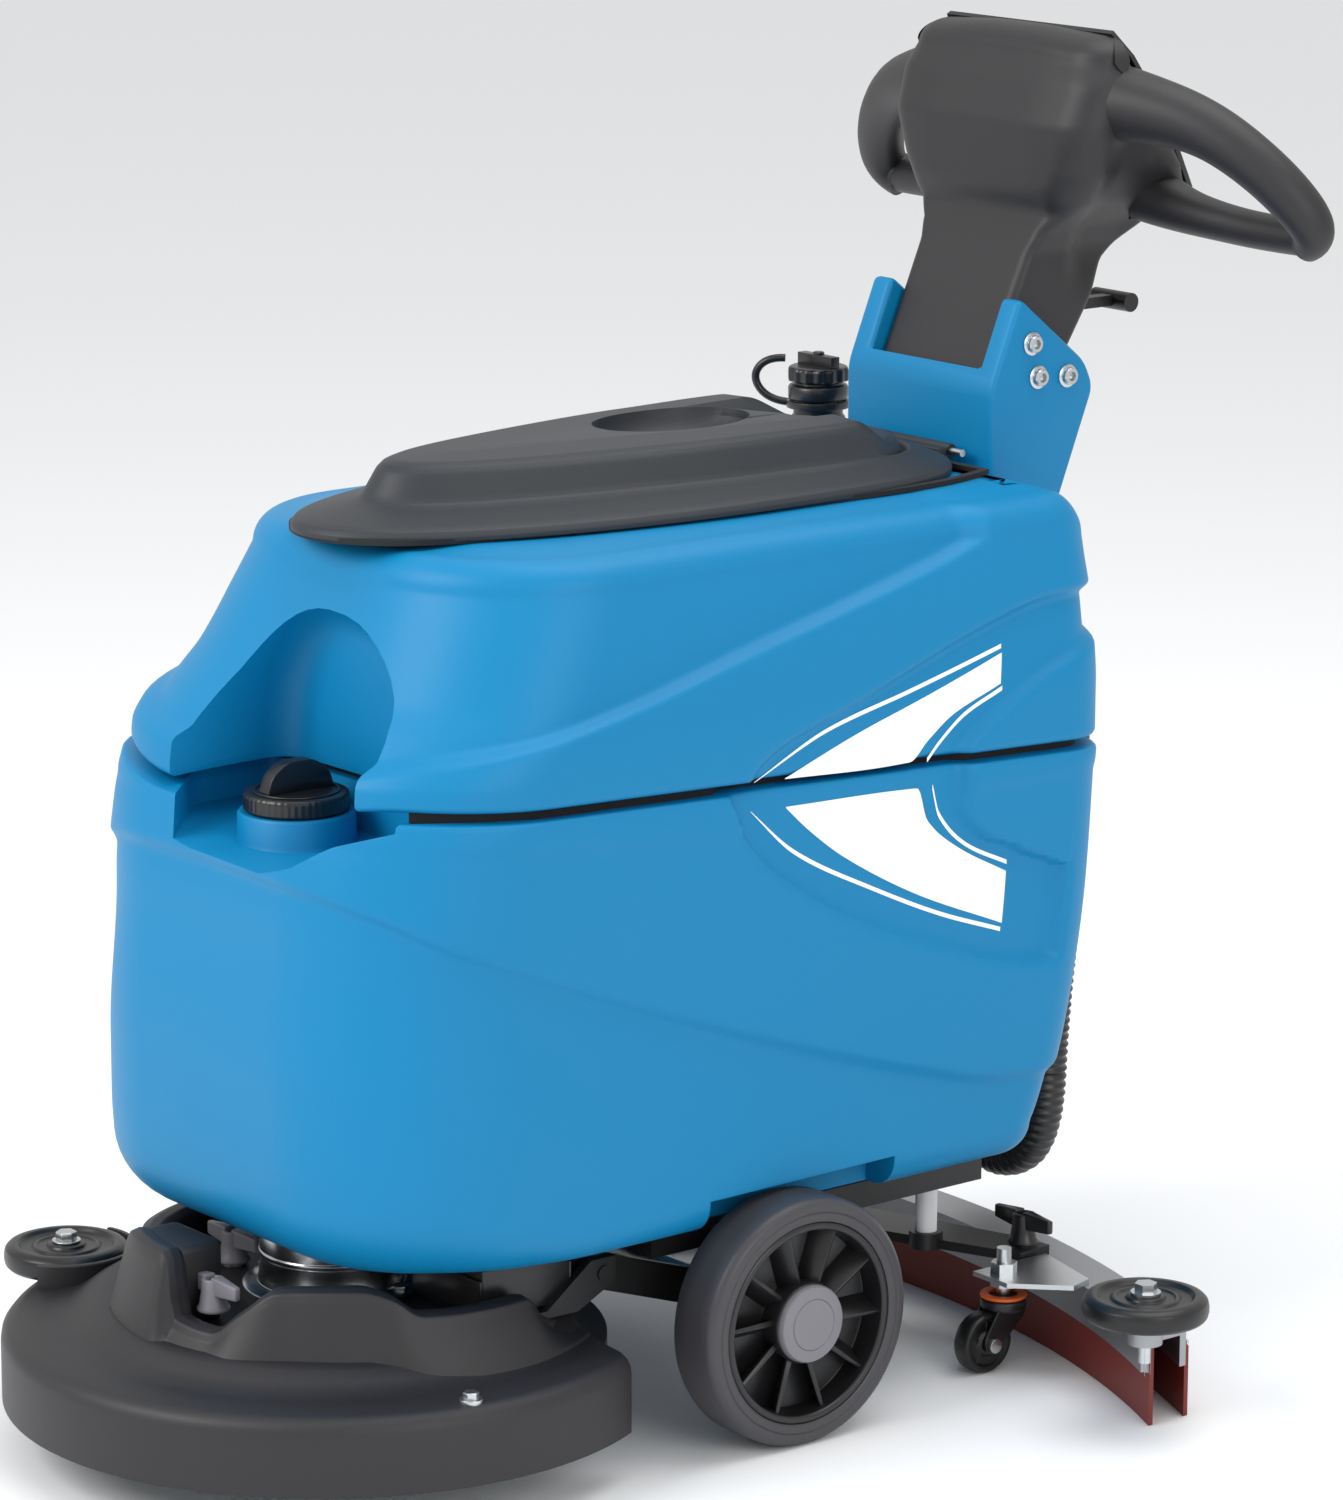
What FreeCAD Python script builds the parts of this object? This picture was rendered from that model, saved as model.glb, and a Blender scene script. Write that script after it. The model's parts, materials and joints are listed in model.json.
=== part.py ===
"""Walk-behind battery floor scrubber with a disc brush deck and a curved squeegee.

Millimetres.  +X is the machine's left, -Y its front (brush deck), +Z up.  The working
origin is on the floor below the main axle; every sub-part is then placed at axle_y, so
that the finished machine stands centred on its own origin.
"""
import FreeCAD, Part
import Sketcher
import math
import os
import re

V = FreeCAD.Vector

SIZES = {
    "axle_y": -7.0,
    # main wheels
    "wheel_radius": 100.0,
    "wheel_width": 50.0,
    "wheel_outer_x": 255.0,
    "rim_radius": 81.0,
    "rim_wall": 5.0,
    "hub_radius": 27.0,
    "hub_cap_radius": 31.0,
    "hub_cap_depth": 7.0,
    "wheel_web": 8.0,
    "axle_radius": 10.0,
    "shaft_clearance": 0.05,
    "part_clearance": 0.4,
    # tanks
    "tank_half_width": 225.0,
    "tank_front": 392.0,
    "tank_rear": 345.0,
    "tank_wall": 7.0,
    "front_corner": 140.0,
    "rear_corner": 70.0,
    "seam_front_z": 537.0,
    "seam_rear_z": 507.0,
    "seam_gap": 9.0,
    "seam_step": 15.0,
    "tank_base_z": 180.0,
    "tank_foot_y": 262.0,
    "tank_foot_z": 172.0,
    "arch_half": 76.0,
    "arch_rear": 115.0,
    "arch_z": 206.0,
    "arch_inner_x": 186.0,
    "top_z": 716.0,
    "top_front": 268.0,
    "top_half_width": 192.0,
    "flare_front": 360.0,
    "flare_z": 562.0,
    "knee_front": 316.0,
    "knee_z": 612.0,
    "shoulder_y": 300.0,
    "shoulder_z": 700.0,
    "recess_half": 115.0,
    "recess_apex_z": 660.0,
    "recess_back": 258.0,
    "rim_front": 366.0,
    "scoop_z": 480.0,
    "notch_half": 96.0,
    "notch_front": 318.0,
    # battery bay and batteries
    "bay_half": 172.0,
    "bay_front": -112.0,
    "bay_rear": 246.0,
    "battery_length": 330.0,
    "battery_width": 172.0,
    "battery_height": 240.0,
    # filler
    "filler_y": -302.0,
    "filler_bore": 27.0,
    "filler_neck": 33.0,
    "filler_neck_z": 502.0,
    "filler_cap_radius": 38.0,
    "filler_cap_z": 523.0,
    # lid
    "lid_thickness": 5.0,
    "lid_plateau": 48.0,
    "lid_front": 292.0,
    "lid_rear": 300.0,
    "lid_half": 136.0,
    "lid_nose_half": 86.0,
    "seal_height": 4.0,
    "lid_hinge_z": 726.0,
    # handle column and head
    "column_half": 90.0,
    "stem_half": 67.0,
    "column_screw_radius": 4.0,
    "screw_head_radius": 8.0,
    "screw_head_height": 5.0,
    "head_half": 108.0,
    "panel_thickness": 4.0,
    "grip_radius": 19.0,
    "grip_bar_radius": 15.0,
    "lever_y": 462.0,
    "lever_z": 822.0,
    # brush deck
    "deck_y": -274.0,
    "deck_radius": 258.0,
    "deck_wall": 6.0,
    "deck_skirt_z": 39.0,
    "deck_shoulder_z": 100.0,
    "deck_tier_radius": 221.0,
    "deck_top_z": 120.0,
    "deck_cut": 116.0,
    "tower_x": -104.0,
    "tower_y": -394.0,
    "tower_width": 59.0,
    "tower_depth": 64.0,
    "tower_z": 176.0,
    "motor_radius": 56.0,
    "motor_top_z": 184.0,
    "drive_radius": 12.0,
    "brush_radius": 215.0,
    "brush_base_z": 70.0,
    "brush_block": 14.0,
    "brush_hub": 38.0,
    "bristle_floor": 40.0,
    "arm_front_y": -135.0,
    "arm_front_z": 146.0,
    "arm_x": 150.0,
    "arm_thickness": 8.0,
    "arm_height": 26.0,
    "arm_pin": 6.0,
    "knob_x": -95.0,
    "knob_y": -301.0,
    # bumper rollers
    "roller_radius": 50.0,
    "roller_width": 20.0,
    "roller_bolt": 5.0,
    "front_roller_x": -218.0,
    "front_roller_y": -378.0,
    "front_roller_z": 103.0,
    "rear_roller_x": 384.0,
    "rear_roller_y": 234.0,
    "rear_roller_z": 90.0,
    # chassis
    "rail_x": 150.0,
    "rail_width": 22.0,
    "rail_z": 150.0,
    "rail_top_z": 171.7,
    "rail_front": -92.0,
    "plate_thickness": 8.0,
    "spine_half": 45.0,
    "spine_front": 350.0,
    "spine_thickness": 14.0,
    # squeegee
    "blade_arc": 886.0,
    "blade_y": 327.0,
    "blade_thickness": 4.0,
    "blade_floor": 0.5,
    "blade_top": 58.0,
    "squeegee_half": 388.0,
    "squeegee_depth": 40.0,
    "squeegee_wall": 6.0,
    "squeegee_skirt_z": 44.0,
    "squeegee_top_z": 76.0,
    "wing_x": 172.0,
    "wing_y": 297.0,
    "wing_stud": 5.0,
    "yoke_height": 8.0,
    "lift_y": 150.0,
    "lift_z": 104.0,
    "lift_pin": 8.0,
    "swivel_y": 232.0,
    "swivel_pin": 8.0,
    "post_x": 105.0,
    "post_y": 250.0,
    "post_radius": 9.0,
    "post_top_z": 132.0,
    "caster_x": 203.0,
    "caster_y": 248.0,
    "caster_radius": 25.0,
    "caster_width": 18.0,
    "caster_trail": 22.0,
    "caster_stud": 6.0,
    "caster_axle": 4.0,
    # drain hose
    "hose_radius": 18.5,
    "hose_wall": 2.5,
    "outlet_x": 120.0,
    "outlet_z": 545.0,
}

doc = FreeCAD.newDocument("floor_scrubber")
sheet = doc.addObject("Spreadsheet::Sheet", "Sizes")
for row, (alias, value) in enumerate(SIZES.items(), start=1):
    sheet.set("A%d" % row, alias)
    sheet.set("B%d" % row, str(value))
    sheet.setAlias("B%d" % row, alias)
doc.recompute()
WORD = re.compile(r"[a-z][a-z_]*")
PARTS = []


def size(alias):
    return float(sheet.get(alias))


def ex(text):
    """A sum in the sheet's names, written out as a document expression."""
    return WORD.sub(lambda m: "Sizes." + m.group(0) if m.group(0) in SIZES else m.group(0), str(text))


def num(text):
    """The value that the same sum has, for the shapes that are worked out in code."""
    total = WORD.sub(lambda m: repr(size(m.group(0))), str(text))
    return FreeCAD.Units.parseQuantity(total).Value


def bind(obj, **sums):
    for prop, text in sums.items():
        obj.setExpression(prop.replace("__", "."), ex(text))
    return obj


def at(obj, x, y, z):
    for axis, text in zip("xyz", (x, y, z)):
        obj.setExpression("Placement.Base." + axis, ex(text))
    return obj


# ---- ways of making a shape -------------------------------------------------------

PLANES = {
    "yz": FreeCAD.Rotation(V(0, 1, 0), V(0, 0, 1), V(1, 0, 0), "ZXY"),
    "xz": FreeCAD.Rotation(V(1, 0, 0), V(0, 0, 1), V(0, -1, 0), "ZXY"),
    "xy": FreeCAD.Rotation(),
}
TURNED = {
    "x": FreeCAD.Rotation(V(0, 1, 0), 90),
    "y": FreeCAD.Rotation(V(1, 0, 0), -90),
    "z": FreeCAD.Rotation(),
}


def draw(sketch, points):
    """A closed polygon whose corners are held by the sheet's sums."""
    corners = [(num(a), num(b)) for a, b in points]
    for here, there in zip(corners, corners[1:] + corners[:1]):
        sketch.addGeometry(Part.LineSegment(V(*here, 0), V(*there, 0)), False)
    for i in range(len(points)):
        sketch.addConstraint(Sketcher.Constraint("Coincident", i, 2, (i + 1) % len(points), 1))
    for i, pair in enumerate(points):
        for kind, text in zip(("DistanceX", "DistanceY"), pair):
            datum = sketch.addConstraint(Sketcher.Constraint(kind, -1, 1, i, 1, num(text)))
            sketch.setExpression("Constraints[%d]" % datum, ex(text))


def prism(name, plane, points, start, end):
    """A polygon drawn in one plane and carried from start to end across it."""
    sketch = doc.addObject("Sketcher::SketchObject", name + "_outline")
    sketch.Placement = FreeCAD.Placement(V(), PLANES[plane])
    draw(sketch, points)
    level = {"yz": ("x", start), "xz": ("y", end), "xy": ("z", start)}[plane]
    sketch.setExpression("Placement.Base." + level[0], ex(level[1]))
    solid = doc.addObject("Part::Extrusion", name)
    solid.Base = sketch
    solid.DirMode = "Normal"
    solid.Solid = True
    return bind(solid, LengthFwd="(%s) - (%s)" % (end, start))


def box(name, x, y, z, dx, dy, dz):
    solid = doc.addObject("Part::Box", name)
    return at(bind(solid, Length=dx, Width=dy, Height=dz), x, y, z)


def rod(name, axis, x, y, z, radius, length):
    solid = doc.addObject("Part::Cylinder", name)
    solid.Placement = FreeCAD.Placement(V(), TURNED[axis])
    return at(bind(solid, Radius=radius, Height=length), x, y, z)


def revolved(name, axis, x, y, z, profile):
    """A turned part: (radius, distance along the axis) pairs spun about the axis."""
    body = doc.addObject("PartDesign::Body", name)
    sketch = body.newObject("Sketcher::SketchObject", name + "_profile")
    plane = [f for f in body.Origin.OriginFeatures if f.Role == "XZ_Plane"][0]
    sketch.AttachmentSupport = [(plane, "")]
    sketch.MapMode = "FlatFace"
    draw(sketch, profile)
    turn = body.newObject("PartDesign::Revolution", name + "_turn")
    turn.Profile = sketch
    turn.ReferenceAxis = (sketch, ["V_Axis"])
    turn.Angle = 360.0
    body.Placement = FreeCAD.Placement(V(), TURNED[axis])
    return at(body, x, y, z)


def many(name, shapes):
    if len(shapes) == 1:
        return shapes[0]
    joined = doc.addObject("Part::MultiFuse", name)
    joined.Shapes = list(shapes)
    return joined


def fuse(name, *shapes):
    return many(name, shapes)


def common(name, *shapes):
    shared = doc.addObject("Part::MultiCommon", name)
    shared.Shapes = list(shapes)
    return shared


def cut(name, base, *tools):
    less = doc.addObject("Part::Cut", name)
    less.Base = base
    less.Tool = many(name + "_tools", tools)
    return less


def rounded(name, base, corners):
    """Fillets the upright edges that stand at the given (x, y, radius) corners."""
    doc.recompute()
    edges = []
    for index, edge in enumerate(base.Shape.Edges, start=1):
        low, high = edge.BoundBox, edge.Vertexes
        upright = low.XLength + low.YLength < 0.01
        for x, y, radius in corners:
            if upright and abs(high[0].X - num(x)) + abs(high[0].Y - num(y)) < 0.02:
                edges.append((index, num(radius), num(radius)))
    solid = doc.addObject("Part::Fillet", name)
    solid.Base = base
    solid.Edges = edges
    return solid


def feature(name, shape):
    solid = doc.addObject("Part::Feature", name)
    solid.Shape = shape
    return solid


def node(label, obj):
    """Names a finished sub-part and sets it at the axle's place in the machine."""
    obj.Label = label
    old = {path.lstrip("."): text for path, text in obj.ExpressionEngine}.get("Placement.Base.y")
    shift = "Sizes.axle_y" if old is None else "(%s) + Sizes.axle_y" % old
    obj.setExpression("Placement.Base.y", shift)
    PARTS.append(obj)
    return obj


def pair(make):
    """Runs a maker once for the left side and once for the right."""
    for side, sign in (("left", 1), ("right", -1)):
        make(side, sign)


# ---- tanks ------------------------------------------------------------------------

def seam_z(y):
    """Height of the sloping joint between the two tanks at a given y."""
    run = "(rim_front + tank_rear)"
    return "seam_front_z - ((%s) + rim_front)*(seam_front_z - seam_rear_z)/%s" % (y, run)


def arch(grow, base):
    """The arched front recess, as an outline across the machine."""
    points = [("-(recess_half + %s)" % grow, base)]
    for step in range(0, 9):
        angle = math.pi * (1 - step / 8)
        across, rise = math.cos(angle), math.sin(angle)
        points.append((
            "(recess_half + %s)*(%.5f)" % (grow, across),
            "seam_front_z + (recess_apex_z + %s - seam_front_z)*(%.5f)" % (grow, rise),
        ))
    points.append(("recess_half + %s" % grow, base))
    return points


def plan_block(name, inset, front, low, high):
    """Upright block with the tank's rounded plan, drawn in by inset all round."""
    half = "tank_half_width - %s" % inset
    block = box(name + "_block", "-(%s)" % half, "-(%s) + %s" % (front, inset), low,
                "2*(%s)" % half, "(%s) + tank_rear - 2*%s" % (front, inset), "(%s) - (%s)" % (high, low))
    corners = []
    for x in ("-(%s)" % half, half):
        corners.append((x, "-(%s) + %s" % (front, inset), "front_corner - %s" % inset))
        corners.append((x, "tank_rear - %s" % inset, "rear_corner - %s" % inset))
    return rounded(name, block, corners)


def solution_tank():
    side = prism("lower_side", "yz", [
        ("-rim_front", "seam_front_z"), ("-tank_front + 14", "seam_front_z - 87"),
        ("-tank_front", "seam_front_z - 152"), ("-tank_front", "tank_base_z + 82"),
        ("-tank_front + 8", "tank_base_z + 42"), ("-tank_front + 45", "tank_base_z + 16"),
        ("-138", "tank_base_z + 2"), ("-arch_half", "tank_base_z"), ("130", "tank_foot_z"),
        ("tank_foot_y - 8", "tank_foot_z"), ("tank_foot_y", "tank_base_z"),
        ("tank_rear", "seam_rear_z"),
    ], "-tank_half_width", "tank_half_width")
    outside = common("lower_outside", side, plan_block("lower_plan", "0", "tank_front", "150", "560"))
    arches = [box("arch_" + side_name, x, "-arch_half", "100", "60", "arch_half + arch_rear", "arch_z - 100")
              for side_name, x in (("left", "arch_inner_x"), ("right", "-arch_inner_x - 60"))]
    bay = box("battery_bay", "-bay_half", "bay_front", "tank_base_z + 12",
              "2*bay_half", "bay_rear - bay_front", "400")
    duct = box("rear_duct", "-150", "bay_rear + 12", "tank_base_z + 240", "300", "55", "400")
    water_side = prism("water_side", "yz", [
        ("-rim_front + 20", "scoop_z - tank_wall - 8"), ("-tank_front + 20", "seam_front_z - 152"),
        ("-tank_front + 12", "tank_base_z + 80"), ("-tank_front + 24", "tank_base_z + 48"),
        ("-tank_front + 55", "tank_base_z + 28"), ("bay_front - tank_wall", "tank_base_z + 14"),
        ("bay_front - tank_wall", "seam_front_z - 32"), ("-recess_back + 12", "seam_front_z - 32"),
        ("-recess_back + 12", "scoop_z - tank_wall - 8"),
    ], "-tank_half_width", "tank_half_width")
    water = common("water", water_side, plan_block("water_plan", "tank_wall", "tank_front", "150", "560"))
    scoop = prism("scoop", "xz", arch("0", "scoop_z"), "-tank_front - 20", "-recess_back")
    neck_bore = rod("neck_bore", "z", "0", "filler_y", "scoop_z - 60", "filler_bore", "120")
    shell = cut("lower_shell", outside, *arches, bay, duct, water, scoop)
    neck = rod("filler_neck", "z", "0", "filler_y", "scoop_z - 8", "filler_neck", "filler_neck_z - scoop_z + 8")
    node("solution_tank", cut("solution_body", fuse("with_neck", shell, neck), neck_bore))


def filler_cap():
    shell = rod("cap_skirt", "z", "0", "filler_y", "scoop_z + 1", "filler_cap_radius", "filler_cap_z - scoop_z - 9")
    bore = rod("cap_bore", "z", "0", "filler_y", "scoop_z", "filler_neck + part_clearance",
               "filler_neck_z - scoop_z + part_clearance")
    bar = box("cap_bar", "-30", "filler_y - 6", "filler_cap_z - 9", "60", "12", "9")
    node("filler_cap", cut("cap_body", fuse("cap_solid", shell, bar), bore))


LID_HALF = [(0.0, -1.0), (0.42, -0.915), (0.68, -0.70), (0.84, -0.42), (0.95, -0.04),
            (1.0, 0.38), (0.985, 0.80), (0.86, 1.0)]


def lid_outline(inset, z):
    """The lid's egg-shaped outline, pointed to the front, drawn in by inset."""
    half = num("lid_half") - inset
    middle = (num("lid_rear") - num("lid_front")) / 2
    reach = (num("lid_rear") + num("lid_front")) / 2 - inset
    right = [V(half * x, middle + reach * y, z) for x, y in LID_HALF]
    left = [V(-p.x, p.y, z) for p in reversed(right[1:])]
    side = Part.BSplineCurve()
    side.interpolate(left + right)
    return Part.Wire([side.toShape(), Part.makeLine(right[-1], left[0])])


def lid_slab(inset, low, high, high_inset):
    return Part.makeLoft([lid_outline(inset, low), lid_outline(high_inset, high)], True, True)


def recovery_tank():
    gap = "seam_gap"
    points = [
        ("-flare_front", seam_z("-flare_front") + " + " + gap), ("-flare_front", "flare_z"),
        ("-knee_front", "knee_z"), ("-top_front", "top_z - 6"), ("-top_front + 6", "top_z"),
        ("shoulder_y", "top_z"), ("tank_rear", "shoulder_z"), ("tank_rear", seam_z("tank_rear") + " + " + gap),
    ]
    side = prism("upper_side", "yz", points, "-tank_half_width", "tank_half_width")
    front = prism("upper_front", "xz", [
        ("-tank_half_width", "480"), ("-tank_half_width", "flare_z"), ("-top_half_width", "top_z"),
        ("top_half_width", "top_z"), ("tank_half_width", "flare_z"), ("tank_half_width", "480"),
    ], "-flare_front - 10", "tank_rear + 10")
    block = plan_block("upper_plan", "0", "flare_front", "480", "740")
    outside = common("upper_outside", side, front, block)
    foot_side = prism("foot_side", "yz", [
        ("-flare_front + seam_step", seam_z("-flare_front + seam_step") + " + part_clearance"),
        ("tank_rear - seam_step", seam_z("tank_rear - seam_step") + " + part_clearance"),
        ("tank_rear - seam_step", seam_z("tank_rear - seam_step") + " + seam_gap + 2"),
        ("-flare_front + seam_step", seam_z("-flare_front + seam_step") + " + seam_gap + 2"),
    ], "-tank_half_width", "tank_half_width")
    foot = common("foot", foot_side, plan_block("foot_plan", "seam_step", "flare_front", "480", "600"))
    floor = " + seam_gap + tank_wall"
    inner_side = prism("dirty_side", "yz", [
        ("-flare_front + tank_wall", seam_z("-flare_front") + floor), ("-flare_front + tank_wall", "flare_z + 2"),
        ("-knee_front + tank_wall", "knee_z + 3"), ("-top_front + tank_wall + 4", "top_z - tank_wall"),
        ("shoulder_y - 4", "top_z - tank_wall"), ("tank_rear - tank_wall", "shoulder_z - 6"),
        ("tank_rear - tank_wall", seam_z("tank_rear") + floor),
    ], "-tank_half_width", "tank_half_width")
    inner_front = prism("dirty_front", "xz", [
        ("-tank_half_width + tank_wall", "480"), ("-tank_half_width + tank_wall", "flare_z"),
        ("-top_half_width + tank_wall", "top_z"), ("top_half_width - tank_wall", "top_z"),
        ("tank_half_width - tank_wall", "flare_z"), ("tank_half_width - tank_wall", "480"),
    ], "-flare_front - 10", "tank_rear + 10")
    inner_plan = plan_block("dirty_plan", "tank_wall", "flare_front", "480", "740")
    recess_wall = prism("recess_wall", "xz", arch("tank_wall", "480"), "-flare_front - 20",
                        "-recess_back + tank_wall")
    notch_wall = box("notch_wall", "-notch_half - tank_wall", "notch_front - tank_wall", "480",
                     "2*(notch_half + tank_wall)", "80", "300")
    inside = cut("dirty_space", common("dirty_block", inner_side, inner_front, inner_plan),
                 recess_wall, notch_wall)
    recess = prism("recess", "xz", arch("0", "480"), "-flare_front - 20", "-recess_back")
    notch = box("notch", "-notch_half", "notch_front", "480", "2*notch_half", "80", "300")
    mouth = feature("mouth", lid_slab(16, num("top_z") - 20, num("top_z") + 20, 16))
    outlet_bore = rod("outlet_bore", "y", "outlet_x", "tank_rear - 20", "outlet_z", "hose_radius - hose_wall", "40")
    shell = cut("upper_shell", fuse("upper_solid", outside, foot), inside, recess, notch, mouth, outlet_bore)
    ears = [box("ear_" + name, x, "lid_rear + 3", "top_z - 1", "12", "11", "lid_hinge_z - top_z + 7")
            for name, x in (("left", "60"), ("right", "-72"))]
    pin_bore = rod("lid_pin_bore", "x", "-90", "lid_rear + 8", "lid_hinge_z", "3", "180")
    node("recovery_tank", cut("recovery_body", fuse("upper_with_ears", shell, *ears), pin_bore))
    node("lid_hinge_pin", rod("lid_hinge_pin", "x", "-72", "lid_rear + 8", "lid_hinge_z", "3", "144"))


def tank_lid():
    base = num("top_z") + num("part_clearance") + num("seal_height")
    wall = num("lid_thickness")
    crown = num("top_z") + num("lid_plateau")
    outside = lid_slab(0, base, base + 10, 2).fuse(lid_slab(2, base + 10, crown, 26))
    inside = lid_slab(wall, base - 1, base + 10, wall).fuse(
        lid_slab(wall, base + 10, crown - wall, 26 + wall))
    recess = Part.makeBox(46, 24, 14, V(-23, -150, crown - 4))
    grip = recess.makeFillet(6, [edge for edge in recess.Edges if edge.BoundBox.ZLength > 10])
    shell = outside.cut(inside).cut(grip)
    pin_y, pin_z = num("lid_rear + 8"), num("lid_hinge_z")
    barrel = Part.makeCylinder(6, 116, V(-58, pin_y, pin_z), V(1, 0, 0))
    web = Part.makeBox(116, 12, 9, V(-58, pin_y - 12, base))
    bore = Part.makeCylinder(num("3 + shaft_clearance"), 130, V(-65, pin_y, pin_z), V(1, 0, 0))
    node("tank_lid", feature("tank_lid", shell.fuse([barrel, web]).cut(bore)))
    low = num("top_z + 0.3")
    ring = lid_slab(2, low, base, 2).cut(lid_slab(8, low - 1, base + 1, 8))
    node("lid_seal", feature("lid_seal", ring))


def suction_pipe():
    floor = seam_z("180") + " + seam_gap + tank_wall + part_clearance"
    pipe = rod("pipe", "z", "60", "204", floor, "22", "120")
    bore = rod("pipe_hole", "z", "60", "204", floor, "19", "120")
    cage_z = floor + " + 120"
    outer = rod("cage_outer", "z", "60", "204", cage_z, "32", "44")
    hollow = rod("cage_hollow", "z", "60", "204", cage_z + " + 4", "29", "36")
    hole = rod("cage_hole", "z", "60", "204", cage_z, "19", "10")
    slots = [box("cage_slot_%d" % i, x, y, cage_z + " + 10", dx, dy, "24")
             for i, (x, y, dx, dy) in enumerate((("20", "198", "80", "12"), ("54", "164", "12", "80")))]
    cage = cut("float_cage", outer, hollow, hole, *slots)
    node("suction_pipe", fuse("suction_pipe", cut("pipe_wall", pipe, bore), cage))


# ---- drain hose -------------------------------------------------------------------

HOSE_ROUTE = [
    (120, 384, 500), (119, 386, 390), (99, 387, 258), (95, 386, 139), (42.5, 385, 108.7),
    (-10, 384, 139), (-14, 385, 258), (-60, 385, 385), (-128, 381, 490), (-180, 370, 600),
    (-181, 369, 712),
]


def arc_path(points, name=None):
    """Straight runs joined by tangent arcs, each as large as its two runs allow."""
    points = [V(*p) for p in points]
    start = points[0]
    edges = []
    for before, corner, after in zip(points, points[1:], points[2:]):
        back, on = before - corner, after - corner
        half_turn = (math.pi - back.getAngle(on)) / 2
        reach = 0.45 * min(back.Length, on.Length)
        if name:
            print("%s radius %.0f mm" % (name, reach / math.tan(half_turn)))
        enter = corner + back.normalize() * reach
        leave = corner + on.normalize() * reach
        middle = back + on
        depth = reach / math.tan(half_turn) * (1 / math.cos(half_turn) - 1)
        edges.append(Part.LineSegment(start, enter).toShape())
        edges.append(Part.Arc(enter, corner + middle.normalize() * depth, leave).toShape())
        start = leave
    edges.append(Part.LineSegment(start, points[-1]).toShape())
    return Part.Wire(edges)


def tube(points, radius, name=None):
    path = arc_path(points, name)
    direction = V(*points[1]) - V(*points[0])
    ring = Part.Wire(Part.makeCircle(radius, V(*points[0]), direction))
    solid = path.makePipeShell([ring], True, False)
    if name:
        expected = math.pi * radius ** 2 * path.Length
        print("%s length %.0f mm, volume ratio %.5f" % (name, path.Length, solid.Volume / expected))
    return solid


def drain_hose():
    radius = num("hose_radius")
    node("drain_hose", feature("drain_hose", tube(HOSE_ROUTE, radius, "drain hose")))
    top = HOSE_ROUTE[0]
    wall = num("tank_rear")
    x, z = num("outlet_x"), num("outlet_z")
    elbow = Part.makeCylinder(28, 7, V(x, wall, z), V(0, 1, 0))
    elbow = elbow.fuse([
        Part.makeCylinder(22, top[1] - wall, V(x, wall, z), V(0, 1, 0)),
        Part.makeSphere(22, V(x, top[1], z)),
        Part.makeCylinder(22, z - top[2], V(x, top[1], top[2]), V(0, 0, 1)),
    ])
    bore = num("hose_radius - hose_wall")
    elbow = elbow.cut(Part.makeCylinder(bore, top[1] - wall, V(x, wall, z), V(0, 1, 0)).fuse([
        Part.makeSphere(bore, V(x, top[1], z)),
        Part.makeCylinder(bore, z - top[2] + 1, V(x, top[1], top[2] - 1), V(0, 0, 1)),
    ]))
    node("hose_outlet", feature("hose_outlet", elbow))
    end = HOSE_ROUTE[-1]
    cuff = Part.makeCylinder(23, 34, V(*end)).cut(Part.makeCylinder(16, 34, V(*end)))
    node("drain_hose_cuff", feature("drain_hose_cuff", cuff))
    top_z = end[2] + 34.3
    cap = Part.makeCylinder(26, 12, V(end[0], end[1], top_z)).fuse(
        Part.makeBox(44, 8, 10, V(end[0] - 22, end[1] - 4, top_z + 12)))
    cap = cap.fuse(Part.makeCylinder(15.5, 12, V(end[0], end[1], top_z - 12)))
    node("drain_cap", feature("drain_cap", cap))
    strap = Part.makeCylinder(26, 8, V(end[0], end[1], end[2] + 12)).cut(
        Part.makeCylinder(23.2, 8, V(end[0], end[1], end[2] + 12)))
    tail = Part.makeBox(12, 3, 30, V(end[0] - 6, end[1] - 29.6, end[2] + 6))
    root = Part.makeBox(12, 4.6, 14, V(end[0] - 6, end[1] - 29.6, end[2] + 6))
    node("drain_cap_strap", feature("drain_cap_strap", strap.fuse([tail, root])))
    clip_x, clip_z = HOSE_ROUTE[9][0], HOSE_ROUTE[9][2] + 50
    ring = Part.makeCylinder(radius + 4, 12, V(clip_x - 0.5, HOSE_ROUTE[9][1] - 0.5, clip_z)).cut(
        Part.makeCylinder(radius + 0.5, 12, V(clip_x - 0.5, HOSE_ROUTE[9][1] - 0.5, clip_z)))
    wall_y = wall - 6
    block = Part.makeBox(18, 14, 12, V(clip_x - 8, wall_y, clip_z))
    node("hose_clip", feature("hose_clip", ring.fuse(block)))


# ---- chassis ----------------------------------------------------------------------

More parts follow.
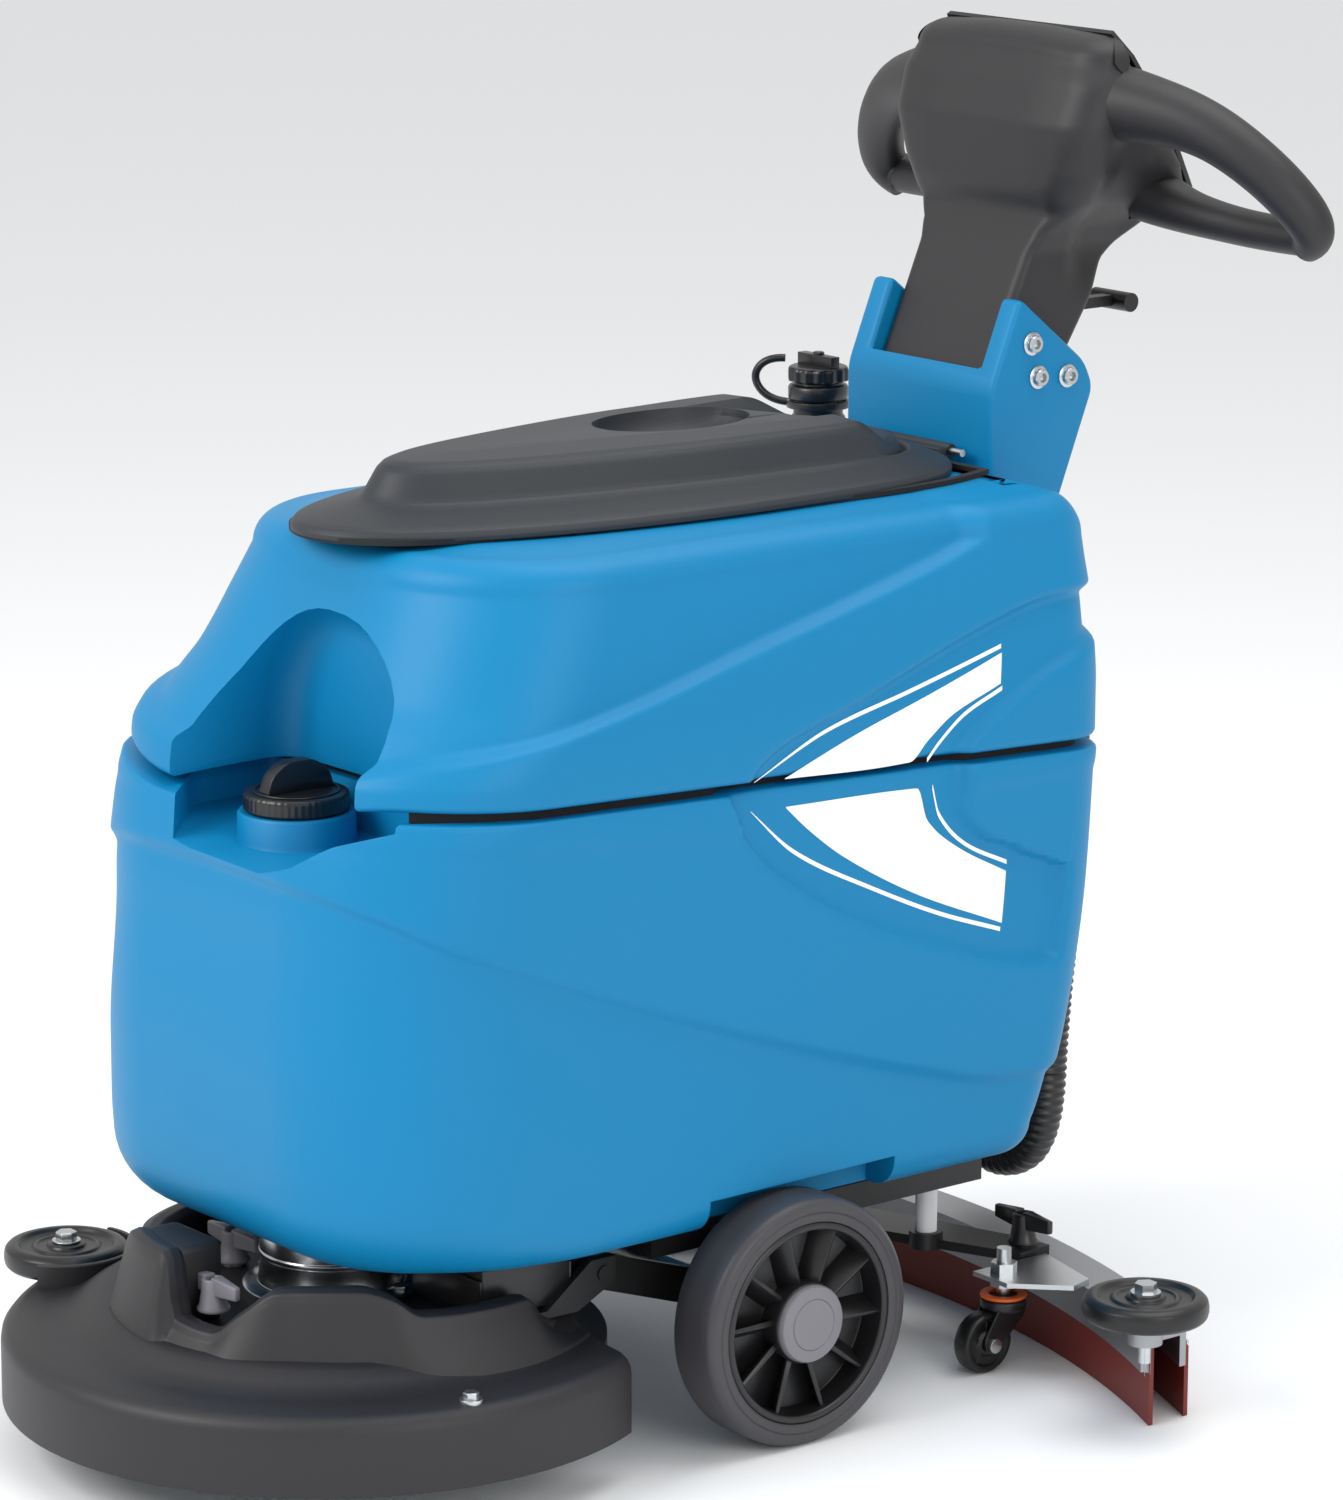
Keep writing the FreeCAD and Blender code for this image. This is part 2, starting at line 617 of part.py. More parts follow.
def chassis_frame():
    pieces = []
    length = "tank_foot_y - rail_front - 12"
    for name, x in (("left", "rail_x"), ("right", "-rail_x - rail_width")):
        pieces.append(box("rail_" + name, x, "rail_front", "rail_z", "rail_width", length, "rail_top_z - rail_z"))
    for name, y in (("front", "rail_front"), ("middle", "lift_y - 12"), ("rear", "tank_foot_y - 36")):
        pieces.append(box("cross_" + name, "-rail_x", y, "rail_z", "2*rail_x", "24", "rail_top_z - rail_z"))
    inner = "rail_x + rail_width"
    for name, x in (("left", inner), ("right", "-(%s) - plate_thickness" % inner)):
        pieces.append(box("axle_plate_" + name, x, "-34", "wheel_radius - 20", "plate_thickness", "68",
                          "rail_top_z - wheel_radius + 20"))
    for name, x in (("left", "36"), ("right", "-48")):
        pieces.append(box("lift_lug_" + name, x, "lift_y - 14", "lift_z - 14", "12", "28",
                          "rail_z - lift_z + 15"))
    spine = prism("spine", "yz", [
        ("spine_front", "690"), ("spine_front + spine_thickness", "690"),
        ("spine_front + spine_thickness", "seam_rear_z + 13"),
        ("tank_foot_y + 8 + spine_thickness", "rail_z + 25"), ("tank_foot_y + 8 + spine_thickness", "rail_z"),
        ("tank_foot_y - 12", "rail_z"), ("tank_foot_y - 12", "rail_top_z - 2"),
        ("tank_foot_y + 8", "rail_top_z + 6"), ("spine_front", "seam_rear_z + 15"),
    ], "-spine_half", "spine_half")
    axle_bores = rod("axle_bores", "x", "-300", "0", "wheel_radius", "axle_radius", "600")
    pieces.append(rod("lift_pin", "x", "-52", "lift_y", "lift_z", "lift_pin", "104"))
    node("chassis_frame", cut("chassis_frame", fuse("welded", *pieces, spine), axle_bores))
    node("main_axle", rod("main_axle", "x", "-wheel_outer_x + 4", "0", "wheel_radius", "axle_radius",
                          "2*wheel_outer_x - 8"))


def batteries():
    blocks = []
    for name, y in (("front", "bay_front + 4"), ("rear", "bay_front + 4 + battery_width + 4")):
        blocks.append(box("battery_" + name, "-battery_length/2", y, "tank_base_z + 12",
                          "battery_length", "battery_width", "battery_height"))
    for i, (x, y) in enumerate(((-120, 30), (120, 30), (-120, 206), (120, 206))):
        blocks.append(rod("terminal_%d" % i, "z", str(x), "bay_front + %d" % y,
                          "tank_base_z + battery_height + 12", "9", "14"))
    node("batteries", fuse("batteries", *blocks))


def motor_conduit():
    route = [(128, -90, 160), (128, -135, 160), (118, -180, 160), (97, -222, 160), (97, -222, 190)]
    node("motor_conduit", feature("motor_conduit", tube(route, 6, "motor conduit")))


# ---- handle -----------------------------------------------------------------------

def handle_column():
    outline = prism("column_side", "yz", [
        ("spine_front - 28", "664"), ("spine_front - 28", "778"), ("spine_front + 1", "850"),
        ("spine_front + 75", "791"), ("spine_front + 84", "771"), ("spine_front + 40", "664"),
    ], "-column_half", "column_half")
    pocket = prism("column_pocket", "yz", [
        ("spine_front - 22", "670"), ("spine_front - 22", "779"), ("spine_front - 22", "900"),
        ("spine_front + 78", "900"), ("spine_front + 78", "771"), ("spine_front + 36", "670"),
    ], "-stem_half - part_clearance", "stem_half + part_clearance")
    passage = box("spine_passage", "-spine_half", "spine_front", "600", "2*spine_half",
                  "spine_thickness", "120")
    shank = "column_screw_radius"
    bores = [rod("screw_bore_%d" % i, "x", "-120", y, z, shank, "240") for i, (y, z) in enumerate(SCREWS)]
    node("handle_column", cut("handle_column", outline, pocket, passage, *bores))
    screws = []
    for i, (y, z) in enumerate(SCREWS):
        for name, x, head in (("left", "stem_half - 8", "column_half"),
                              ("right", "-column_half", "-column_half - screw_head_height")):
            screws.append(rod("screw_%s_%d" % (name, i), "x", x, y, z, shank, "column_half - stem_half + 8"))
            screws.append(rod("screw_head_%s_%d" % (name, i), "x", head, y, z, "screw_head_radius",
                              "screw_head_height"))
    node("column_screws", fuse("column_screws", *screws))


SCREWS = [("365", "812"), ("372", "784"), ("404", "782")]


def vacuum_motor():
    can = rod("motor_can", "z", "0", "bay_rear + 39.5", "tank_base_z + 252", "23", "58")
    mount = rod("motor_mount", "z", "0", "bay_rear + 39.5", "tank_base_z + 240", "26", "12")
    node("vacuum_motor", fuse("vacuum_motor", can, mount))


def head_profile(name, inset):
    side = prism(name + "_side", "yz", [
        ("333 + %s" % inset, "778 + %s" % inset), ("400 + %s" % inset, "925"),
        ("400 + %s" % inset, "1048 - %s" % inset), ("410 + %s" % inset, "1060 - %s" % inset),
        ("440", "1060 - %s" % inset), ("540 - %s" % inset, "925"), ("472 - %s" % inset, "869"),
        ("428 - %s" % inset, "798"), ("424 - %s" % inset, "778"),
        ("414", "748"), ("345", "748"), ("345", "778 + %s" % inset),
    ], "-head_half", "head_half")
    front = prism(name + "_front", "xz", [
        ("-stem_half + %s" % inset, "735"), ("-stem_half + %s" % inset, "869"),
        ("-head_half + %s + 18" % inset, "925"), ("-head_half + %s" % inset, "985"),
        ("-head_half + %s" % inset, "1040"), ("-head_half + %s + 10" % inset, "1062"),
        ("head_half - %s - 10" % inset, "1062"), ("head_half - %s" % inset, "1040"),
        ("head_half - %s" % inset, "985"), ("head_half - %s - 18" % inset, "925"),
        ("stem_half - %s" % inset, "869"), ("stem_half - %s" % inset, "735"),
    ], "300", "560")
    return common(name, side, front)


PANEL_TOP = ("440", "1060")
PANEL_FOOT = ("540", "925")
PANEL_SLOPE = math.atan2(135, 100)


def panel_layer(name, depth, thick, half):
    """A sheet lying in the control panel's plane, depth below its outer face."""
    run, rise = math.cos(PANEL_SLOPE), math.sin(PANEL_SLOPE)
    corners = []
    for (y, z), down in ((PANEL_TOP, depth), (PANEL_FOOT, depth), (PANEL_FOOT, "%s + %s" % (depth, thick)),
                         (PANEL_TOP, "%s + %s" % (depth, thick))):
        corners.append(("%s - (%s)*%.5f" % (y, down, rise), "%s - (%s)*%.5f" % (z, down, run)))
    return prism(name, "yz", corners, "-(%s)" % half, half)


def on_panel(shape, across, down, lift):
    """Places a piece made flat on the panel: across in x, down the slope, lift off it."""
    y, z = num(PANEL_TOP[0]), num(PANEL_TOP[1])
    run, rise = math.cos(PANEL_SLOPE), math.sin(PANEL_SLOPE)
    place = V(across, y + down * run + lift * rise, z - down * rise + lift * run)
    turn = FreeCAD.Rotation(V(1, 0, 0), -math.degrees(PANEL_SLOPE))
    return shape.transformed(FreeCAD.Placement(place, turn).toMatrix(), True)


def head():
    outside = head_profile("head_outside", "0")
    inside = common("head_space", head_profile("head_inside", "6"),
                    box("head_room", "-200", "300", "880", "400", "300", "300"))
    step = panel_layer("panel_step", "-20", "20 + panel_thickness", "200")
    bores = [rod("stem_bore_%d" % i, "x", "-120", y, z, "column_screw_radius", "240")
             for i, (y, z) in enumerate(SCREWS)]
    ears = [box("lever_ear_" + name, x, "lever_y - 34", "lever_z - 10", "6", "42", "20")
            for name, x in (("left", "7"), ("right", "-13"))]
    ears.append(rod("lever_pin", "x", "-14", "lever_y", "lever_z", "4", "28"))
    shell = cut("head_solid", outside, inside, step, *bores)
    well = feature("panel_well", on_panel(Part.makeBox(160, 148, 46, V(-80, 10, -40)), 0, 0, 0))
    node("head_shell", fuse("head_shell", cut("head_opened", shell, well), *ears))
    sheet_metal = common("panel_blank", panel_layer("panel_plate", "0", "panel_thickness", "head_half"),
                         head_profile("head_again", "0"))
    holes = [feature("panel_hole_%d" % i, on_panel(Part.makeCylinder(radius, 20), across, down, -10))
             for i, (across, down, radius) in enumerate(
                 ((-60, 118, 7.4), (60, 118, 9.4)))]
    holes += [feature("rocker_hole_%d" % i, on_panel(
        Part.makeBox(19, 29, 20, V(-9.5, -14.5, 0)), across, 118, -10)) for i, across in enumerate((-20, 20))]
    node("panel_cover", cut("panel_cover", sheet_metal, *holes))
    screen = Part.makeBox(96, 44, 3, V(-48, -22, 0))
    node("status_display", feature("status_display", on_panel(screen, 0, 56, 0)))
    barrel = Part.makeCylinder(7, 10, V(0, 0, -7)).fuse(Part.makeBox(3, 20, 16, V(-1.5, -10, 3)))
    node("key_switch", feature("key_switch", on_panel(barrel, -60, 118, 0.3)))
    for name, across in (("brush_switch", -20), ("vacuum_switch", 20)):
        side = Part.makePolygon([V(-8.8, -13, -6), V(-8.8, -13, 5), V(-8.8, 0, 2.5), V(-8.8, 13, 5),
                                 V(-8.8, 13, -6), V(-8.8, -13, -6)])
        rocker = Part.Face(side).extrude(V(17.6, 0, 0))
        node(name, feature(name, on_panel(rocker, across, 118, 0.3)))
    knob = Part.makeCylinder(9, 8, V(0, 0, -7.5)).fuse(Part.makeCylinder(15, 14, V(0, 0, 0.5)))
    node("flow_knob", feature("flow_knob", on_panel(knob, 60, 118, 0.2)))


def grips():
    upper = [(92, 423, 1023), (150, 438, 1026), (204, 457, 1022), (246, 478, 994), (260, 497, 950),
             (257, 514, 912)]
    lower = [(251, 516, 900), (180, 513, 903), (78, 503, 917)]
    loops = []

    def make(side, sign):
        arm = tube([(sign * x, y, z) for x, y, z in upper], num("grip_radius"))
        bar = tube([(sign * x, y, z) for x, y, z in lower], num("grip_bar_radius"))
        ball = Part.makeSphere(num("grip_radius + 1"), V(sign * upper[-1][0], upper[-1][1], upper[-1][2]))
        loops.append(arm.fuse([bar, ball]))
    pair(make)
    both = feature("grip_loops", Part.makeCompound(loops))
    node("handle_grips", cut("handle_grips", both, head_profile("head_trim", "0")))


def lift_lever():
    y, z = num("lever_y"), num("lever_z")
    arm = Part.makeBox(12, 78, 9, V(-6, y, z - 5)).fuse([
        Part.makeCylinder(9, 12, V(-6, y, z), V(1, 0, 0)),
        Part.makeCylinder(8, 44, V(-22, y + 76, z - 1), V(1, 0, 0)),
    ])
    bore = Part.makeCylinder(num("4 + shaft_clearance"), 12, V(-6, y, z), V(1, 0, 0))
    node("lift_lever", feature("lift_lever", arm.cut(bore)))


# ---- running gear -----------------------------------------------------------------

def wheels():
    def make(side, sign):
        inner = "wheel_outer_x - wheel_width"
        start = inner if sign > 0 else "-wheel_outer_x"
        tyre = revolved(side + "_tyre", "x", start, "0", "wheel_radius", [
            ("rim_radius", "1"), ("wheel_radius - 5", "0"), ("wheel_radius", "6"),
            ("wheel_radius", "wheel_width - 6"), ("wheel_radius - 5", "wheel_width"),
            ("rim_radius", "wheel_width - 1"),
        ])
        node(side + "_tyre", tyre)
        bore = "axle_radius + shaft_clearance"
        web = ("wheel_width/2 - wheel_web/2", "wheel_width/2 + wheel_web/2")
        wheel = revolved(side + "_wheel", "x", start, "0", "wheel_radius", [
            (bore, "3"), ("hub_radius", "3"), ("hub_radius", web[0]), ("rim_radius - rim_wall", web[0]),
            ("rim_radius - rim_wall", "3"), ("rim_radius", "3"), ("rim_radius", "wheel_width - 3"),
            ("rim_radius - rim_wall", "wheel_width - 3"), ("rim_radius - rim_wall", web[1]),
            ("hub_radius", web[1]), ("hub_radius", "wheel_width - 3"), (bore, "wheel_width - 3"),
        ])
        node(side + "_wheel", wheel)
        cap_start = "wheel_outer_x - 3" if sign > 0 else "-wheel_outer_x + 3 - hub_cap_depth"
        cap = rod(side + "_cap_disc", "x", cap_start, "0", "wheel_radius", "hub_cap_radius", "hub_cap_depth")
        node(side + "_hub_cap", cap)
    pair(make)


def roller(name, x, y, z):
    bore = "roller_bolt + shaft_clearance"
    wheel = revolved(name, "z", x, y, z, [
        (bore, "0"), ("roller_radius - 3", "0"), ("roller_radius", "3"),
        ("roller_radius", "roller_width - 3"), ("roller_radius - 3", "roller_width"),
        ("roller_radius - 12", "roller_width"), ("roller_radius - 14", "roller_width - 3"),
        ("22", "roller_width - 3"), ("20", "roller_width"), (bore, "roller_width"),
    ])
    node(name, wheel)


def roller_bolt(name, x, y, z, drop):
    """The bolt that a bumper roller turns on, with its washer and hexagon head."""
    shank = rod(name + "_shank", "z", x, y, "(%s) - %s" % (z, drop), "roller_bolt",
                "roller_width + %s + 0.4" % drop)
    washer = rod(name + "_washer", "z", x, y, "(%s) + roller_width + 0.4" % z, "12", "2")
    head_prism = doc.addObject("Part::Prism", name + "_head")
    head_prism.Polygon = 6
    at(bind(head_prism, Circumradius="9", Height="7"), x, y, "(%s) + roller_width + 2.4" % z)
    return [shank, washer, head_prism]


# ---- brush deck -------------------------------------------------------------------

def deck_cover():
    wall = "deck_wall"
    cover = revolved("deck_bell", "z", "0", "deck_y", "0", [
        ("deck_radius", "deck_skirt_z"), ("deck_radius", "deck_shoulder_z - 14"),
        ("deck_radius - 5", "deck_shoulder_z - 4"), ("deck_radius - 15", "deck_shoulder_z"),
        ("deck_tier_radius + 4", "deck_shoulder_z"), ("deck_tier_radius - 4", "deck_top_z - 5"),
        ("deck_tier_radius - 12", "deck_top_z"), ("drive_radius + 1", "deck_top_z"),
        ("drive_radius + 1", "deck_top_z - %s" % wall), ("deck_tier_radius - 15", "deck_top_z - %s" % wall),
        ("deck_tier_radius - 10", "deck_top_z - 10"), ("deck_tier_radius - 1", "deck_shoulder_z - %s" % wall),
        ("deck_radius - 18", "deck_shoulder_z - %s" % wall), ("deck_radius - 10", "deck_shoulder_z - 10"),
        ("deck_radius - %s" % wall, "deck_shoulder_z - 18"), ("deck_radius - %s" % wall, "deck_skirt_z"),
    ])
    behind = box("behind_deck", "-deck_radius - 10", "deck_y + deck_cut", "0", "2*deck_radius + 20", "300", "300")
    tower = box("tower_block", "tower_x", "tower_y", "deck_top_z - 2", "tower_width", "tower_depth",
                "tower_z - deck_top_z + 2")
    bore = rod("roller_boss_bore", "z", "front_roller_x", "front_roller_y", "50", "roller_bolt", "100")
    dish = common("roller_dish", rod("roller_dish_disc", "z", "front_roller_x", "front_roller_y",
                                     "deck_shoulder_z - 6", "roller_radius + 8", "deck_top_z - deck_shoulder_z + 6"),
                  rod("roller_dish_limit", "z", "0", "deck_y", "50", "deck_radius - 20", "100"))
    pocket = rod("roller_pocket", "z", "front_roller_x", "front_roller_y", "front_roller_z - 1.5",
                 "roller_radius + 2.5", "60")
    knob_bore = rod("deck_knob_bore", "z", "knob_x", "knob_y", "90", "5.2", "60")
    node("deck_cover", cut("deck_cover", fuse("deck_solid", cut("deck_shell", cover, behind), tower, dish),
                           pocket, bore, knob_bore))


def deck_hardware():
    bolts = roller_bolt("front_roller_bolt", "front_roller_x", "front_roller_y", "front_roller_z", "24")
    for i, angle in enumerate((-10, -70, -110, -170)):
        x = "(deck_radius - 25)*%.5f" % math.cos(math.radians(angle))
        y = "deck_y + (deck_radius - 25)*%.5f" % math.sin(math.radians(angle))
        bolts.append(rod("deck_washer_%d" % i, "z", x, y, "deck_shoulder_z", "9", "1.5"))
        head_prism = doc.addObject("Part::Prism", "deck_bolt_%d" % i)
        head_prism.Polygon = 6
        bolts.append(at(bind(head_prism, Circumradius="7.5", Height="5.5"), x, y, "deck_shoulder_z + 1.5"))
    bolts.append(rod("deck_knob_stud", "z", "knob_x", "knob_y", "deck_top_z - 12", "5", "36"))
    bolts.append(rod("deck_knob_washer", "z", "knob_x", "knob_y", "deck_top_z", "10", "2"))
    bolts.append(box("deck_knob_clamp", "knob_x - 12", "knob_y - 2", "deck_top_z", "24", "30", "1.5"))
    node("deck_bolts", fuse("deck_bolts", *bolts))
    roller("front_roller", "front_roller_x", "front_roller_y", "front_roller_z")


def gear_motor():
    can = rod("drive_can", "z", "0", "deck_y", "deck_top_z", "motor_radius", "motor_top_z - deck_top_z")
    flange = rod("drive_flange", "z", "0", "deck_y", "deck_top_z", "motor_radius + 14", "8")
    shaft = rod("drive_shaft", "z", "0", "deck_y", "brush_base_z + 4", "drive_radius", "deck_top_z - brush_base_z - 4")
    node("gear_motor", fuse("gear_motor", can, flange, shaft))


def brush():
    bore = "drive_radius + shaft_clearance"
    block = revolved("brush_block", "z", "0", "deck_y", "0", [
        (bore, "brush_base_z"), ("brush_radius", "brush_base_z"), ("brush_radius", "brush_base_z + brush_block"),
        ("brush_hub", "brush_base_z + brush_block"), ("brush_hub", "deck_top_z - deck_wall - 8"),
        (bore, "deck_top_z - deck_wall - 8"),
    ])
    node("brush_block", block)
    tuft = revolved("brush_bristles", "z", "0", "deck_y", "0", [
        ("70", "bristle_floor"), ("brush_radius - 6", "bristle_floor"),
        ("brush_radius - 6", "brush_base_z"), ("70", "brush_base_z"),
    ])
    node("brush_bristles", tuft)


def deck_linkage():
    pieces = []
    for name, x in (("left", "arm_x"), ("right", "-arm_x - arm_thickness")):
        bar = prism("arm_bar_" + name, "yz", [
            ("-6", "wheel_radius - arm_height/2"), ("6", "wheel_radius + arm_height/2"),
            ("arm_front_y + 6", "arm_front_z + arm_height/2"), ("arm_front_y - 6", "arm_front_z - arm_height/2"),
        ], x, "(%s) + arm_thickness" % x)
        pieces.append(bar)
        pieces.append(rod("arm_eye_" + name, "x", x, "0", "wheel_radius", "axle_radius + 9", "arm_thickness"))
        pieces.append(rod("arm_end_" + name, "x", x, "arm_front_y", "arm_front_z", "arm_pin + 8", "arm_thickness"))
    pieces.append(rod("arm_tie", "x", "-arm_x", "arm_front_y/2 - 18", "(wheel_radius + arm_front_z)/2 + 4", "8", "2*arm_x"))
    axle = rod("arm_axle_bore", "x", "-200", "0", "wheel_radius", "axle_radius + shaft_clearance", "400")
    pins = rod("arm_pin_bore", "x", "-200", "arm_front_y", "arm_front_z", "arm_pin + shaft_clearance", "400")
    node("deck_arms", cut("deck_arms", fuse("arm_solid", *pieces), axle, pins))
    ears = []
    for name, x in (("left", "arm_x - 8.5"), ("left_outer", "arm_x + arm_thickness + 0.5"),
                    ("right", "-arm_x + 0.5"), ("right_outer", "-arm_x - arm_thickness - 8.5")):
        ears.append(prism("ear_" + name, "yz", [
            ("deck_y + deck_cut - 40", "deck_top_z"), ("deck_y + deck_cut - 2", "deck_top_z"),
            ("arm_front_y + 12", "arm_front_z - 8"), ("arm_front_y + 12", "arm_front_z + 12"),
            ("arm_front_y - 12", "arm_front_z + 12"),
        ], x, "(%s) + 8" % x))
        base_x = x
    strip = box("bracket_strip", "-arm_x - arm_thickness - 8.5", "deck_y + deck_cut - 40", "deck_top_z",
                "2*arm_x + 2*arm_thickness + 17", "36", "6")
    pivots = [rod("deck_pivot_" + name, "x", x, "arm_front_y", "arm_front_z", "arm_pin", "arm_thickness + 21")
              for name, x in (("left", "arm_x - 10.5"), ("right", "-arm_x - arm_thickness - 10.5"))]
    node("deck_bracket", fuse("deck_bracket", *ears, strip, *pivots))


# ---- squeegee ---------------------------------------------------------------------

def sector(name, inner, outer, low, high, half):
    """A curved bar: the part of a flat ring, about the blades' centre, within half of x = 0."""
    centre_y = "blade_y - blade_arc"
    bar = cut(name + "_ring", rod(name + "_outer", "z", "0", centre_y, low, outer, "(%s) - (%s)" % (high, low)),
              rod(name + "_inner", "z", "0", centre_y, low, inner, "(%s) - (%s)" % (high, low)))
    return common(name, bar, box(name + "_span", "-(%s)" % half, "100", low, "2*(%s)" % half, "400",
                                 "(%s) - (%s)" % (high, low)))


def squeegee():
    front = "blade_arc - squeegee_wall - 0.2"
    back = "blade_arc + squeegee_depth - blade_thickness - 2.2"
    half = "squeegee_half"
    top = sector("channel_top", front, back, "squeegee_top_z - squeegee_wall", "squeegee_top_z", half)
    front_wall = sector("channel_front", front, "blade_arc - 0.2", "squeegee_skirt_z", "squeegee_top_z", half)
    back_wall = sector("channel_back", back + " - squeegee_wall", back, "squeegee_skirt_z", "squeegee_top_z", half)
    pieces = [top, front_wall, back_wall]
    holes = []
    for name, sign in (("left", ""), ("right", "-")):
        x = sign + "rear_roller_x"
        pieces.append(rod("roller_seat_" + name, "z", x, "rear_roller_y", "squeegee_top_z - squeegee_wall",
                          "14", "rear_roller_z - squeegee_top_z + squeegee_wall - 1"))
        holes.append(rod("roller_seat_bore_" + name, "z", x, "rear_roller_y", "0", "roller_bolt", "200"))
        pieces.append(rod("wing_pad_" + name, "z", sign + "wing_x", "wing_y",
                          "squeegee_top_z - squeegee_wall", "22", "squeegee_wall"))
        holes.append(rod("wing_pad_bore_" + name, "z", sign + "wing_x", "wing_y", "0", "wing_stud", "200"))
    body = fuse("channel", *pieces)
    node("squeegee_body", cut("squeegee_body", body, *holes))
    node("front_blade", sector("front_blade", "blade_arc", "blade_arc + blade_thickness", "blade_floor",
                               "squeegee_top_z - squeegee_wall - 0.4", "squeegee_half - 3"))
    rear = "blade_arc + squeegee_depth - blade_thickness - 2"
    node("rear_blade", sector("rear_blade", rear, rear + " + blade_thickness", "blade_floor",
                              "blade_top", "squeegee_half - 3"))
    for side, x in (("left", "rear_roller_x"), ("right", "-rear_roller_x")):
        roller(side + "_roller", x, "rear_roller_y", "rear_roller_z")


def squeegee_hardware():
    pieces = []
    for name, sign in (("left", ""), ("right", "-")):
        pieces += roller_bolt("rear_bolt_" + name, sign + "rear_roller_x", "rear_roller_y", "rear_roller_z", "36")
        pieces.append(rod("wing_stud_" + name, "z", sign + "wing_x", "wing_y", "squeegee_top_z - 12",
                          "wing_stud", "42"))
    strap = "blade_arc + squeegee_depth + 0.2"
    pieces.append(sector("blade_strap", strap, strap + " + 2", "squeegee_skirt_z", "blade_top",
                         "squeegee_half - 12"))
    node("squeegee_fasteners", fuse("squeegee_fasteners", *pieces))


def yoke():
    low = "squeegee_top_z + 0.3"
    arms = []
    for name, s in (("left", ""), ("right", "-")):
        def flip(points):
            return [("%s(%s)" % (s, x), y) for x, y in points]
        arms.append(prism("yoke_arm_" + name, "xy", flip([
            ("0", "swivel_y - 24"), ("24", "swivel_y - 18"), ("wing_x + 14", "wing_y - 16"),
            ("wing_x + 12", "wing_y + 18"), ("wing_x - 14", "wing_y + 16"), ("0", "swivel_y + 28"),
        ]), low, low + " + yoke_height"))
        arms.append(rod("post_" + name, "z", s + "post_x", "post_y", low, "post_radius + 5", "14"))
    hub = rod("yoke_hub", "z", "0", "swivel_y", low, "26", "lift_z - 8.4 - squeegee_top_z - 0.3")
    pin = rod("yoke_pin", "z", "0", "swivel_y", low, "swivel_pin", "lift_z + 24 - squeegee_top_z")
    collar = rod("yoke_collar", "z", "0", "swivel_y", "lift_z + 8.4", "15", "10")
    bores = [rod("yoke_bore_" + name, "z", s + "wing_x", "wing_y", "0", "wing_stud", "200")
             for name, s in (("left", ""), ("right", "-"))]
    bores += [rod("post_bore_" + name, "z", s + "post_x", "post_y", low + " + yoke_height", "post_radius + 0.2", "100")
              for name, s in (("left", ""), ("right", "-"))]
    node("squeegee_yoke", cut("squeegee_yoke", fuse("yoke_solid", *arms, hub, pin, collar), *bores))
    node("guide_posts", fuse("guide_posts", *[
        rod("guide_post_" + name, "z", s + "post_x", "post_y", low + " + yoke_height", "post_radius",
            "post_top_z - squeegee_top_z - yoke_height - 0.3") for name, s in (("left", ""), ("right", "-"))]))


def lift_arm():
    barrel = rod("lift_barrel", "x", "-35.4", "lift_y", "lift_z", "16", "70.8")
    bar = box("lift_bar", "-30", "lift_y", "lift_z - 8", "60", "swivel_y - lift_y + 26", "16")
    pin_bore = rod("lift_pin_bore", "x", "-60", "lift_y", "lift_z", "lift_pin + shaft_clearance", "120")
    swivel_bore = rod("swivel_bore", "z", "0", "swivel_y", "lift_z - 20", "swivel_pin + shaft_clearance", "40")
    node("squeegee_lift_arm", cut("squeegee_lift_arm", fuse("lift_solid", barrel, bar), pin_bore, swivel_bore))


